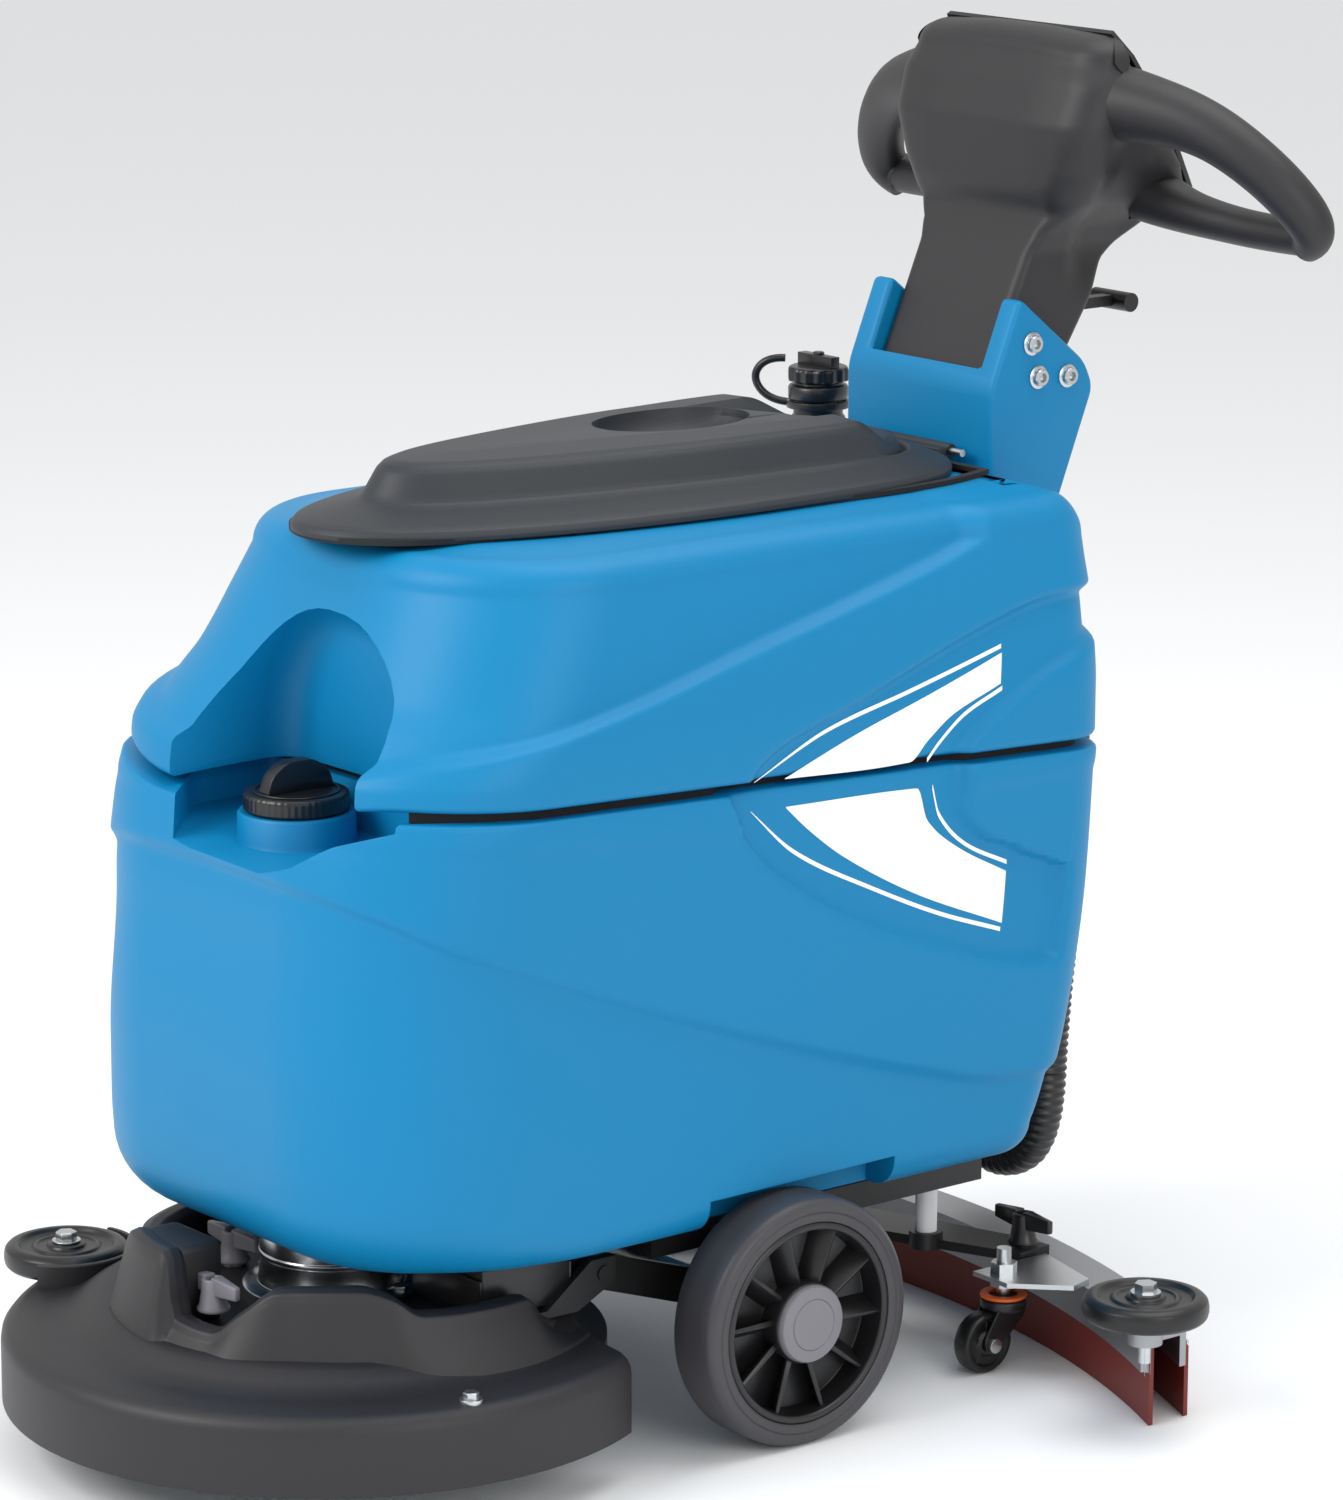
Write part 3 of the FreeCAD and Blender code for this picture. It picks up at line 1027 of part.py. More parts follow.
def casters():
    brackets = []

    def make(side, sign):
        s = "" if sign > 0 else "-"
        x = s + "caster_x"
        plate = prism(side + "_caster_plate", "xy", [
            ("%s(caster_x - 15)" % s, "caster_y - 20"), ("%s(caster_x + 26)" % s, "caster_y - 20"),
            ("%s(caster_x + 64)" % s, "caster_y + 18"), ("%s(caster_x + 58)" % s, "caster_y + 40"),
            ("%s(caster_x - 13)" % s, "caster_y + 58"),
        ], "squeegee_top_z + 0.2", "squeegee_top_z + 4.2")
        stud = rod(side + "_stud", "z", x, "caster_y", "48", "caster_stud", "squeegee_top_z - 24")
        nuts = []
        for i, level in enumerate(("squeegee_top_z - 8", "squeegee_top_z + 4.2")):
            nut = doc.addObject("Part::Prism", "%s_nut_%d" % (side, i))
            nut.Polygon = 6
            nuts.append(at(bind(nut, Circumradius="11", Height="8"), x, "caster_y", level))
        brackets.extend([plate, stud, *nuts])
        cap = rod(side + "_fork_cap", "z", x, "caster_y", "54", "19", "11")
        cheeks = []
        for i, inner in enumerate(("caster_width/2 + 0.8", "-caster_width/2 - 4.3")):
            cheeks.append(prism("%s_cheek_%d" % (side, i), "yz", [
                ("caster_y - 14", "55"), ("caster_y + 12", "55"), ("caster_y - caster_trail + 8", "caster_radius - 7"),
                ("caster_y - caster_trail - 8", "caster_radius - 7"), ("caster_y - caster_trail - 8", "caster_radius + 8"),
            ], "%s + (%s)" % (x, inner), "%s + (%s) + 3.5" % (x, inner)))
        axle = rod(side + "_caster_axle", "x", "%s - caster_width/2 - 6" % x, "caster_y - caster_trail",
                   "caster_radius", "caster_axle", "caster_width + 12")
        stud_bore = rod(side + "_fork_bore", "z", x, "caster_y", "30", "caster_stud + shaft_clearance", "60")
        node(side + "_caster_fork", cut(side + "_caster_fork", fuse(side + "_fork_solid", cap, *cheeks, axle), stud_bore))
        bore = "caster_axle + shaft_clearance"
        wheel = revolved(side + "_caster_wheel", "x", "%s - caster_width/2" % x, "caster_y - caster_trail",
                         "caster_radius", [
            (bore, "0"), ("caster_radius - 3", "0"), ("caster_radius", "3"),
            ("caster_radius", "caster_width - 3"), ("caster_radius - 3", "caster_width"), (bore, "caster_width"),
        ])
        node(side + "_caster_wheel", wheel)
    pair(make)
    node("caster_brackets", fuse("caster_brackets", *brackets))


def wing_knob(name, x, y, z, stud, reach):
    """A knob nut with two wings, turning on a stud."""
    bottom = rod(name + "_foot", "z", x, y, z, "13", "3")
    stem = rod(name + "_stem", "z", x, y, z, "9", "26")
    wings = prism(name + "_wings", "xz", [
        ("%s - %s" % (x, reach), "%s + 16" % z), ("%s" % x, "%s + 11" % z), ("%s + %s" % (x, reach), "%s + 16" % z),
        ("%s + %s" % (x, reach), "%s + 27" % z), ("%s" % x, "%s + 31" % z), ("%s - %s" % (x, reach), "%s + 27" % z),
    ], "%s - 6" % y, "%s + 6" % y)
    bore = rod(name + "_bore", "z", x, y, "%s - 1" % z, stud, "23")
    node(name, cut(name, fuse(name + "_solid", bottom, stem, wings), bore))


def knobs():
    level = "squeegee_top_z + yoke_height + 0.6"
    for side, s in (("left", ""), ("right", "-")):
        wing_knob(side + "_wing_knob", s + "wing_x", "wing_y", level, "wing_stud + shaft_clearance", "34")
    wing_knob("deck_knob", "knob_x", "knob_y", "deck_top_z + 2.3", "5 + shaft_clearance", "26")


solution_tank()
filler_cap()
recovery_tank()
tank_lid()
suction_pipe()
drain_hose()
chassis_frame()
batteries()
motor_conduit()
handle_column()
vacuum_motor()
head()
grips()
lift_lever()
wheels()
deck_cover()
deck_hardware()
gear_motor()
brush()
deck_linkage()
squeegee()
squeegee_hardware()
yoke()
lift_arm()
casters()
knobs()

doc.recompute()
failed = [o.Name for o in doc.Objects if "Invalid" in o.State or "Error" in o.State]
if failed:
    raise RuntimeError("these did not build: %s" % ", ".join(failed))
os.makedirs("parts", exist_ok=True)
for part in PARTS:
    if part.Shape.isNull() or not part.Shape.isValid():
        raise RuntimeError("%s has no sound shape" % part.Label)
for part in PARTS:
    part.Shape.exportStep("parts/%s.step" % part.Label)
print(len(PARTS), "sub-parts")
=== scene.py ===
"""The looks of a walk-behind floor scrubber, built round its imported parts.

Shapes are worked out in millimetres from the floor below the main axle, with +X to the
machine's left and -Y to its front, and are brought into the frame's metres at the end.
"""

import json
import math

import bmesh
import bpy
from mathutils import Matrix, Vector


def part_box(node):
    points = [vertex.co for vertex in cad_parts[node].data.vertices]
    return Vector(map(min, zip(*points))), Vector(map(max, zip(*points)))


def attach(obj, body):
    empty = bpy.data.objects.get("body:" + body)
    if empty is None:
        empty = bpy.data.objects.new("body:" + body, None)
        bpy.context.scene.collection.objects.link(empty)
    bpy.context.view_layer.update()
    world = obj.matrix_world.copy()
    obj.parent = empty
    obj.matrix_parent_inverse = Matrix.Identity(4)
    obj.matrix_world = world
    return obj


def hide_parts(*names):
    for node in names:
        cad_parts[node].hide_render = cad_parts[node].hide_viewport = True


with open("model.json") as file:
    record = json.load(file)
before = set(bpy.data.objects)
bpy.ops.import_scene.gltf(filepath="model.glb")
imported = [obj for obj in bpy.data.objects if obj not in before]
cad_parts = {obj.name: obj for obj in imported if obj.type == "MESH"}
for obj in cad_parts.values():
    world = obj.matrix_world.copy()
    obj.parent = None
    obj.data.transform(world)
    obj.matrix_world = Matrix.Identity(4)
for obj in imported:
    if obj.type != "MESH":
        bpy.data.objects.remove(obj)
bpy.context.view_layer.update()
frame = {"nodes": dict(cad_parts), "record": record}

bl_info = {
    "name": "Floor scrubber",
    "version": (1, 0, 0),
    "blender": (4, 5, 0),
    "location": "View3D > Sidebar > Scrubber",
    "description": "Builds the mouldings and finishes of a walk-behind floor scrubber",
    "category": "Object",
}

MM = 0.001
AXLE_Y = sum(corner.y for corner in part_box("main_axle")) / 2
INTO_FRAME = Matrix.Translation((0, AXLE_Y, 0)) @ Matrix.Scale(MM, 4)
SIDES = (("left", 1), ("right", -1))
# the mixed finishes, by the name of their material slot
PAINT = {}


# ---- working in bmesh ---------------------------------------------------------------

def place(x, y, z):
    """A point in millimetres from below the axle, in the frame."""
    return INTO_FRAME @ Vector((x, y, z))


def ease(value, width=1.0):
    """Rises smoothly from 0 to 1 as value goes from -width/2 to width/2."""
    share = min(max(value / width + 0.5, 0.0), 1.0)
    return share * share * (3 - 2 * share)


def along(value, points):
    """Reads a line through (place, height) points, level beyond its ends."""
    if value <= points[0][0]:
        return points[0][1]
    for (a, low), (b, high) in zip(points, points[1:]):
        if value <= b:
            return low + (high - low) * (value - a) / (b - a)
    return points[-1][1]


def flow(value, points):
    """Reads a smooth line through (place, height) points that never overshoots them."""
    if value <= points[0][0] or value >= points[-1][0]:
        return along(value, points)
    i = next(k for k in range(1, len(points)) if value <= points[k][0])
    rise = [(q[1] - p[1]) / (q[0] - p[0]) for p, q in zip(points, points[1:])]

    def slope(k):
        if k == 0 or k == len(points) - 1:
            return rise[min(k, len(rise) - 1)]
        before, after = rise[k - 1], rise[k]
        return 2 * before * after / (before + after) if before * after > 0 else 0.0
    (a, low), (b, high) = points[i - 1], points[i]
    t = (value - a) / (b - a)
    return (low * (2 * t ** 3 - 3 * t * t + 1) + high * (3 * t * t - 2 * t ** 3)
            + (b - a) * (slope(i - 1) * (t ** 3 - 2 * t * t + t) + slope(i) * (t ** 3 - t * t)))


def tube_grid(segments, levels):
    """A unit tube whose angle and height carry the two directions of a surface."""
    bm = bmesh.new()
    bmesh.ops.create_cone(bm, cap_ends=False, segments=segments, radius1=1, radius2=1, depth=1,
                          matrix=Matrix.Translation((0, 0, 0.5)))
    upright = [edge for edge in bm.edges if abs(edge.verts[0].co.z - edge.verts[1].co.z) > 0.5]
    bmesh.ops.subdivide_edges(bm, edges=upright, cuts=levels - 1, use_grid_fill=True)
    return bm


def mould(segments, levels, surface):
    """Shapes a tube grid by surface(turn, level); turn is 0 in front and +-0.5 behind."""
    bm = tube_grid(segments, levels)
    for vert in bm.verts:
        turn = math.atan2(vert.co.x, -vert.co.y) / math.tau
        vert.co = surface(turn, vert.co.z)
    bmesh.ops.holes_fill(bm, edges=[edge for edge in bm.edges if edge.is_boundary], sides=0)
    bmesh.ops.recalc_face_normals(bm, faces=bm.faces)
    return bm


def strip(columns, rows, surface, thick):
    """A thin sheet shaped by surface(share along, share up, lift)."""
    bm = bmesh.new()
    bmesh.ops.create_grid(bm, x_segments=columns, y_segments=rows, size=0.5)
    bmesh.ops.translate(bm, verts=bm.verts, vec=(0.5, 0.5, 0))
    edge = bmesh.ops.extrude_face_region(bm, geom=bm.faces[:])["geom"]
    bmesh.ops.translate(bm, verts=[v for v in edge if isinstance(v, bmesh.types.BMVert)], vec=(0, 0, 1))
    for vert in bm.verts:
        vert.co = surface(vert.co.x, vert.co.y, vert.co.z * thick)
    bmesh.ops.recalc_face_normals(bm, faces=bm.faces)
    return bm


LAY = {"z": Matrix.Identity(4), "x": Matrix.Rotation(math.pi / 2, 4, "Y"),
       "y": Matrix.Rotation(-math.pi / 2, 4, "X")}


def lathe(profile, centre=(0, 0, 0), axis="z", segments=72):
    """Turns (radius, height) points about an axis; an outline off the axis becomes a ring."""
    bm = bmesh.new()
    ring = [bm.verts.new((radius, 0, height)) for radius, height in profile]
    pairs = list(zip(ring, ring[1:]))
    if profile[0][0] > 0:
        pairs.append((ring[-1], ring[0]))
    edges = [bm.edges.new(pair) for pair in pairs]
    bmesh.ops.spin(bm, geom=ring + edges, cent=(0, 0, 0), axis=(0, 0, 1), angle=math.tau,
                   steps=segments, use_merge=True)
    bmesh.ops.remove_doubles(bm, verts=bm.verts, dist=0.001)
    bmesh.ops.recalc_face_normals(bm, faces=bm.faces)
    bm.transform(Matrix.Translation(centre) @ LAY[axis])
    return bm


def tube(inner, outer, low, high, centre=(0, 0, 0), axis="z", segments=72):
    """A ring of plain section about an axis."""
    return lathe([(inner, low), (outer, low), (outer, high), (inner, high)], centre, axis, segments)


def rod(radius, low, high, centre=(0, 0, 0), axis="z", segments=72):
    """A plain round bar."""
    return tube(0, radius, low, high, centre, axis, segments)


def block(size, centre=(0, 0, 0), turn=None):
    """A box of size mm about its centre."""
    bm = bmesh.new()
    bmesh.ops.create_cube(bm, size=1)
    bmesh.ops.scale(bm, verts=bm.verts, vec=size)
    bm.transform(Matrix.Translation(centre) @ (turn or Matrix.Identity(4)))
    return bm


def prism(plane, points, start, end, corner=0):
    """Extrudes an outline in the yz, xz or xy plane; corner rounds its corners."""
    bm = bmesh.new()
    third = {"yz": 0, "xz": 1, "xy": 2}[plane]

    def spot(pair):
        whole = list(pair)
        whole.insert(third, start)
        return whole
    bm.faces.new([bm.verts.new(spot(pair)) for pair in points])
    if corner:
        bmesh.ops.bevel(bm, geom=bm.verts[:], offset=corner, segments=5, profile=0.5,
                        affect="VERTICES", material=-1)
    grown = bmesh.ops.extrude_face_region(bm, geom=bm.faces[:])["geom"]
    shift = [0, 0, 0]
    shift[third] = end - start
    bmesh.ops.translate(bm, verts=[v for v in grown if isinstance(v, bmesh.types.BMVert)], vec=shift)
    bmesh.ops.recalc_face_normals(bm, faces=bm.faces)
    return bm


def joined(*shapes):
    """Puts several shapes into one bmesh."""
    whole = bmesh.new()
    for shape in shapes:
        spare = bpy.data.meshes.new("spare")
        shape.to_mesh(spare)
        shape.free()
        whole.from_mesh(spare)
        bpy.data.meshes.remove(spare)
    return whole


def mirrored(shape):
    """The same shape on the machine's other side."""
    bmesh.ops.scale(shape, verts=shape.verts, vec=(-1, 1, 1))
    bmesh.ops.reverse_faces(shape, faces=shape.faces)
    return shape


def sided(make):
    """A shape for the left and its mirror for the right, in one bmesh."""
    return joined(make(), mirrored(make()))


def loose_object(bm, name):
    """A mesh object in the frame's metres."""
    mesh = bpy.data.meshes.new(name)
    bm.transform(INTO_FRAME)
    bm.to_mesh(mesh)
    bm.free()
    made = bpy.data.objects.new(name, mesh)
    bpy.context.scene.collection.objects.link(made)
    return made


def evaluated(made):
    """An object as it is with its modifiers and curve settings applied."""
    graph = bpy.context.evaluated_depsgraph_get()
    graph.update()
    return made.evaluated_get(graph)


def settle(made):
    """Applies an object's modifiers to its mesh."""
    mesh = bpy.data.meshes.new_from_object(evaluated(made))
    made.modifiers.clear()
    made.data = mesh


def carve(made, cutters, operation="DIFFERENCE"):
    """Cuts shapes out of an object, or adds them to it."""
    tools = [loose_object(bm, "cutter") for bm in cutters]
    for tool in tools:
        cut = made.modifiers.new("Cut", "BOOLEAN")
        cut.object = tool
        cut.operation = operation
        cut.solver = "EXACT"
    settle(made)
    for tool in tools:
        bpy.data.objects.remove(tool)


def piece(shape, name, body, look, stands_for=(), edge=0.0, cutters=(), sharp=38):
    """Makes a finished piece that rides on a body, with its edges rounded by edge mm.

    Its one material slot takes the finish named by look.
    """
    made = loose_object(shape, name)
    if cutters:
        carve(made, cutters)
    if edge:
        bevel = made.modifiers.new("Edges", "BEVEL")
        bevel.width = edge * MM
        bevel.segments = 3
        bevel.limit_method = "ANGLE"
        bevel.angle_limit = math.radians(sharp)
        settle(made)
    made.data.shade_smooth()
    made.data.set_sharp_from_angle(angle=math.radians(sharp))
    made.data.materials.clear()
    made.data.materials.append(PAINT[look])
    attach(made, body)
    if stands_for:
        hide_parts(*stands_for)
    return made


def swept(points, radii, sides=12):
    """A bar along a smooth line through points, as thick at each as radii says."""
    line = bpy.data.curves.new("bar", "CURVE")
    line.dimensions = "3D"
    line.bevel_depth = 1.0
    line.bevel_resolution = sides
    line.resolution_u = 10
    line.use_fill_caps = True
    run = line.splines.new("NURBS")
    run.points.add(len(points) - 1)
    for spot, point, radius in zip(run.points, points, radii):
        spot.co = (*point, 1)
        spot.radius = radius
    run.order_u = 4
    run.use_endpoint_u = True
    holder = bpy.data.objects.new("bar", line)
    bpy.context.scene.collection.objects.link(holder)
    bm = bmesh.new()
    bm.from_mesh(evaluated(holder).to_mesh())
    bpy.data.objects.remove(holder)
    bmesh.ops.remove_doubles(bm, verts=bm.verts, dist=0.01)
    bmesh.ops.recalc_face_normals(bm, faces=bm.faces)
    return bm


# ---- finishes -----------------------------------------------------------------------

def linear(code):
    """A colour code's linear red, green, blue and full opacity."""
    parts = [int(code[i:i + 2], 16) / 255 for i in (1, 3, 5)]
    return [c / 12.92 if c <= 0.04045 else ((c + 0.055) / 1.055) ** 2.4 for c in parts] + [1]


def add(tree, kind, links=None, **settings):
    """Adds a node with its settings, and links or sets its sockets."""
    made = tree.nodes.new(kind)
    for key, value in settings.items():
        setattr(made, key, value)
    for socket, value in (links or {}).items():
        if isinstance(value, bpy.types.NodeSocket):
            tree.links.new(value, made.inputs[socket])
        else:
            made.inputs[socket].default_value = value
    return made


def finish(name, colour, roughness, metallic=0.0, ior=1.5, grain=0.0, depth=0.0, stretch=(1, 1, 1),
           coat=0.0, wear=0.0, sheen=0.5):
    """A surface with a grain of so many millimetres across and so many deep."""
    material = bpy.data.materials.new(name)
    material.use_nodes = True
    tree = material.node_tree
    shader = tree.nodes["Principled BSDF"]
    shader.inputs["Base Color"].default_value = linear(colour)
    shader.inputs["Roughness"].default_value = roughness
    shader.inputs["Metallic"].default_value = metallic
    shader.inputs["Coat Weight"].default_value = coat
    shader.inputs["Specular IOR Level"].default_value = sheen
    if not metallic:
        shader.inputs["IOR"].default_value = ior
    material.diffuse_color = linear(colour)
    if grain:
        spot = add(tree, "ShaderNodeTexCoord").outputs["Object"]
        laid = add(tree, "ShaderNodeMapping", {"Vector": spot, "Scale": stretch}).outputs["Vector"]
        noise = add(tree, "ShaderNodeTexNoise", {"Vector": laid, "Scale": 1 / (grain * MM), "Detail": 2.0,
                                                 "Roughness": 0.6})
        bump = add(tree, "ShaderNodeBump", {"Height": noise.outputs["Fac"], "Distance": depth * MM,
                                            "Strength": 1.0})
        tree.links.new(bump.outputs["Normal"], shader.inputs["Normal"])
    if wear:
        spot = add(tree, "ShaderNodeTexCoord").outputs["Object"]
        cloud = add(tree, "ShaderNodeTexNoise", {"Vector": spot, "Scale": 9.0, "Detail": 4.0})
        spread = add(tree, "ShaderNodeMapRange", {"Value": cloud.outputs["Fac"], "To Min": roughness - wear,
                                                  "To Max": roughness + wear})
        tree.links.new(spread.outputs["Result"], shader.inputs["Roughness"])
    return material


def finishes(colours):
    """Every finish on the machine, by the name of its material slot."""
    return {
        # rotomoulded polyethylene: satin, with a soft orange-peel skin
        "blue_tank": finish("rotomoulded_polyethylene", colours.tank, 0.46, grain=1.6, depth=0.05,
                            wear=0.05, sheen=0.3),
        # injection moulded ABS with a spark-eroded texture, which scatters the highlights
        "black_plastic": finish("textured_abs", colours.moulding, 0.5, ior=1.53, grain=0.9, depth=0.16),
        "charcoal_plastic": finish("leather_grained_abs", colours.lid, 0.52, ior=1.53, grain=1.3, depth=0.22),
        "smooth_plastic": finish("smooth_nylon", "#19191b", 0.32, ior=1.53, wear=0.04),
        "grey_plastic": finish("grey_polypropylene", "#7a787e", 0.42, grain=0.8, depth=0.04),
        "white_nylon": finish("turned_nylon", "#e6e6e8", 0.4, ior=1.53, grain=2.0, depth=0.03),
        # solid polyurethane tyre: satin, greyer than rubber
        "tyre_rubber": finish("polyurethane_tyre", colours.tyre, 0.42, grain=1.4, depth=0.05, wear=0.06),
        "roller_rubber": finish("nitrile_rubber", "#111112", 0.36, ior=1.52, wear=0.05),
        # seal_rubber also colours the dark sheet in the gap between the tanks, which is painted shade
        "seal_rubber": finish("seal_rubber_and_painted_gap_shade", "#141415", 0.8, ior=1.52, grain=0.6, depth=0.1),
        "blade_rubber": finish("gum_rubber", "#6e160c", 0.5, ior=1.52, grain=3.0, depth=0.04, wear=0.06),
        "frame_steel": finish("powder_coated_steel", "#161617", 0.42, grain=0.9, depth=0.05, wear=0.05),
        # bright zinc plate: metallic, with soft cloudy reflections
        "zinc_steel": finish("zinc_plate", "#c8cbcc", 0.3, metallic=1.0, grain=5.0, depth=0.03, wear=0.07),
        # sand-cast aluminium, linished: streaks of brushing over a fine grain
        "cast_aluminium": finish("linished_cast_aluminium", "#a3a5a8", 0.42, metallic=1.0, grain=2.0,
                                 depth=0.06, stretch=(0.15, 1, 1), wear=0.08),
        "motor_steel": finish("turned_steel", "#b9bbbe", 0.26, metallic=1.0, grain=1.2, depth=0.03,
                              stretch=(0.1, 0.1, 1), wear=0.05),
        "battery_case": finish("battery_polypropylene", "#1c1c1f", 0.45, grain=1.0, depth=0.05),
        "bristle": finish("polypropylene_bristle", "#b9c4cc", 0.5, grain=0.9, depth=0.5, stretch=(1, 1, 0.05)),
        "hose_plastic": finish("pvc_hose", "#161618", 0.35, ior=1.53, wear=0.05),
        "display_glass": finish("tinted_window", "#0b1014", 0.08, ior=1.49, coat=0.5),
        "switch_plastic": finish("gloss_abs", "#131314", 0.2, ior=1.53),
        "graphic_film": finish("printed_vinyl", colours.graphic, 0.34, ior=1.48, wear=0.03),
        "orange_race": finish("orange_acetal", "#e3611b", 0.35, ior=1.48, wear=0.03),
    }


# ---- the tanks' outline -------------------------------------------------------------

HALF_WIDTH, FRONT, REAR = 225.0, 392.0, 345.0
FRONT_CORNER, REAR_CORNER = 140.0, 50.0
TANK_BASE, TANK_TOP, SEAM_LEVEL = 178.0, 712.0, 520
CREASE = 9.0
# lengths from the middle of the front to the middle of the rear: front, corner, side, corner, rear
RUNS = (HALF_WIDTH - FRONT_CORNER, FRONT_CORNER * math.pi / 2, FRONT + REAR - FRONT_CORNER - REAR_CORNER,
        REAR_CORNER * math.pi / 2, HALF_WIDTH - REAR_CORNER)


def outline(turn, half, front, rear, front_corner, rear_corner, runs=RUNS):
    """A point on a rounded rectangle, told by its turn round the machine."""
    left = abs(turn) * 2 * sum(runs)
    part = 0
    while part < 4 and left > runs[part]:
        left -= runs[part]
        part += 1
    share = min(left / runs[part], 1.0)
    angle = share * math.pi / 2
    if part == 0:
        x, y = share * (half - front_corner), -front
    elif part == 1:
        x, y = half - front_corner * (1 - math.sin(angle)), -front + front_corner * (1 - math.cos(angle))
    elif part == 2:
        x, y = half, -front + front_corner + share * (front + rear - front_corner - rear_corner)
    elif part == 3:
        x, y = half - rear_corner * (1 - math.cos(angle)), rear - rear_corner * (1 - math.sin(angle))
    else:
        x, y = (1 - share) * (half - rear_corner), rear
    return math.copysign(x, turn), y


def round_run(turn):
    """How far round the tank a turn is from the middle of its front, in mm."""
    return abs(turn) * 2 * sum(RUNS)


def seam(x, y):
    """Height of the parting between the two tanks, which dips beside the filler."""
    return 537 - 30 * (y + FRONT) / (FRONT + REAR) - 15 * ease(125 - abs(x), 110) * ease(-y - 200, 100)


# sculpted lines on each tank's side: (mm round from the front, height)
SHOULDER_LINE = [(0, 560), (120, 566), (190, 576), (258, 585), (338, 600), (468, 630), (558, 648),
                 (697, 676), (802, 700), (900, 706)]
UPPER_SWEEP = [(440, 470), (496, 523), (536, 553), (605, 576), (746, 619), (833, 634), (1100, 640)]
UPPER_LOBE = [(690, 470), (724, 519), (845, 584), (930, 600), (1100, 605)]
LOWER_LOBE = [(416, 851), (440, 793), (459, 753), (482, 736), (502, 738), (560, 742)]
LOWER_SWEEP = [(440, 585), (500, 511), (518, 482), (569, 442), (621, 412), (701, 379), (836, 342), (1100, 330)]
BELLY_LINE = [(0, 480), (114, 477), (180, 464), (236, 441), (369, 387), (469, 350), (623, 299),
              (729, 269), (811, 251), (1100, 240)]


def lower_relief(run, z, depth):
    """How far the lower tank's skin stands out from its plain outline."""
    sweep = ease(z - flow(run, LOWER_SWEEP), 12) * ease(flow(z, LOWER_LOBE) - run, 14)
    belly = ease(flow(run, BELLY_LINE) - z, 12) * ease(z - flow(run, BELLY_LINE) + 95, 120)
    rim = ease(z - 520 + 28 * ease(run - 330, 500), 12)
    return -depth * sweep - 0.7 * depth * belly + 1.5 * rim * (1 - sweep)


def upper_relief(run, z, depth):
    """How far the upper tank's skin stands out from its plain outline."""
    sweep = ease(flow(run, UPPER_SWEEP) - z, 13) * ease(z - flow(run, UPPER_LOBE), 14)
    shoulder = ease(z - flow(run, SHOULDER_LINE), 10)
    return -depth * sweep - 1.25 * depth * shoulder


# reach of each tank's front and rear walls from the axle: (height, reach)
LOWER_FRONT = [(180, 384), (260, 392), (440, 391), (500, 384), (540, 372)]
LOWER_REAR = [(180, 272), (215, 296), (300, 322), (400, 338), (507, 345)]
UPPER_FRONT = [(540, 368), (556, 366), (566, 360), (590, 339), (612, 319), (660, 292), (716, 264)]
TOP_FILLET = 24.0


def lower_skin(turn, z, lift=0.0, depth=CREASE):
    run = round_run(turn)
    out = lower_relief(run, z, depth) + lift
    return outline(turn, HALF_WIDTH + out, flow(z, LOWER_FRONT) + out, flow(z, LOWER_REAR) + out,
                   FRONT_CORNER + out, REAR_CORNER + out)


def upper_skin(turn, z, lift=0.0, depth=CREASE):
    run = round_run(turn)
    out = upper_relief(run, z, depth) + lift
    half = HALF_WIDTH - 27 * max(0, (z - 562) / 154) ** 1.4
    return outline(turn, half + out, flow(z, UPPER_FRONT) + out, REAR + out,
                   FRONT_CORNER + out, REAR_CORNER + out)


def lower_surface(depth):
    low, foot, brim = TANK_BASE, 0.12, 0.97

    def surface(turn, level):
        fillet = 26 + 30 * ease(300 - round_run(turn), 160)
        if level < foot:
            angle = level / foot * math.pi / 2
            z = low + fillet * (1 - math.cos(angle))
            x, y = lower_skin(turn, low + fillet, -fillet * (1 - math.sin(angle)), depth)
        elif level < brim:
            start = low + fillet
            share = (level - foot) / (brim - foot)
            top = seam(*lower_skin(turn, SEAM_LEVEL)) - 4
            z = start + share * (top - start)
            x, y = lower_skin(turn, z, 0, depth)
        else:
            angle = (level - brim) / 0.03 * math.pi / 2
            rim = seam(*lower_skin(turn, SEAM_LEVEL))
            z = rim - 4 + 4 * math.sin(angle)
            x, y = lower_skin(turn, rim - 4, -4 * (1 - math.cos(angle)), depth)
        return x, y, z
    return surface


def upper_surface(depth):
    def surface(turn, level):
        rim = seam(*upper_skin(turn, 550)) + 8
        if level < 0.04:
            angle = level / 0.04 * math.pi / 2
            z = rim + 5 * (1 - math.cos(angle))
            x, y = upper_skin(turn, rim + 5, -5 * (1 - math.sin(angle)), depth)
        elif level < 0.72:
            share = (level - 0.04) / 0.68
            z = rim + 5 + share * (TANK_TOP - TOP_FILLET - rim - 5)
            x, y = upper_skin(turn, z, 0, depth)
        elif level < 0.86:
            angle = (level - 0.72) / 0.14 * math.pi / 2
            z = TANK_TOP - TOP_FILLET * (1 - math.sin(angle))
            x, y = upper_skin(turn, TANK_TOP - TOP_FILLET, -TOP_FILLET * (1 - math.cos(angle)), depth)
        else:
            inset = TOP_FILLET + (level - 0.86) / 0.14 * 42
            z = TANK_TOP + 4 * ease((level - 0.93), 0.14)
            x, y = upper_skin(turn, TANK_TOP - TOP_FILLET, -inset, depth)
        z -= 14 * ease(y - 322, 40) * ease(z - 650, 60)
        return x, y, z
    return surface


def gap_shade_surface(turn, level):
    """A dark sheet in the gap between the tanks: painted shade where the gap falls into shadow."""
    x, y = lower_skin(turn, SEAM_LEVEL, -17)
    return x, y, seam(x, y) - 5 + 17 * level


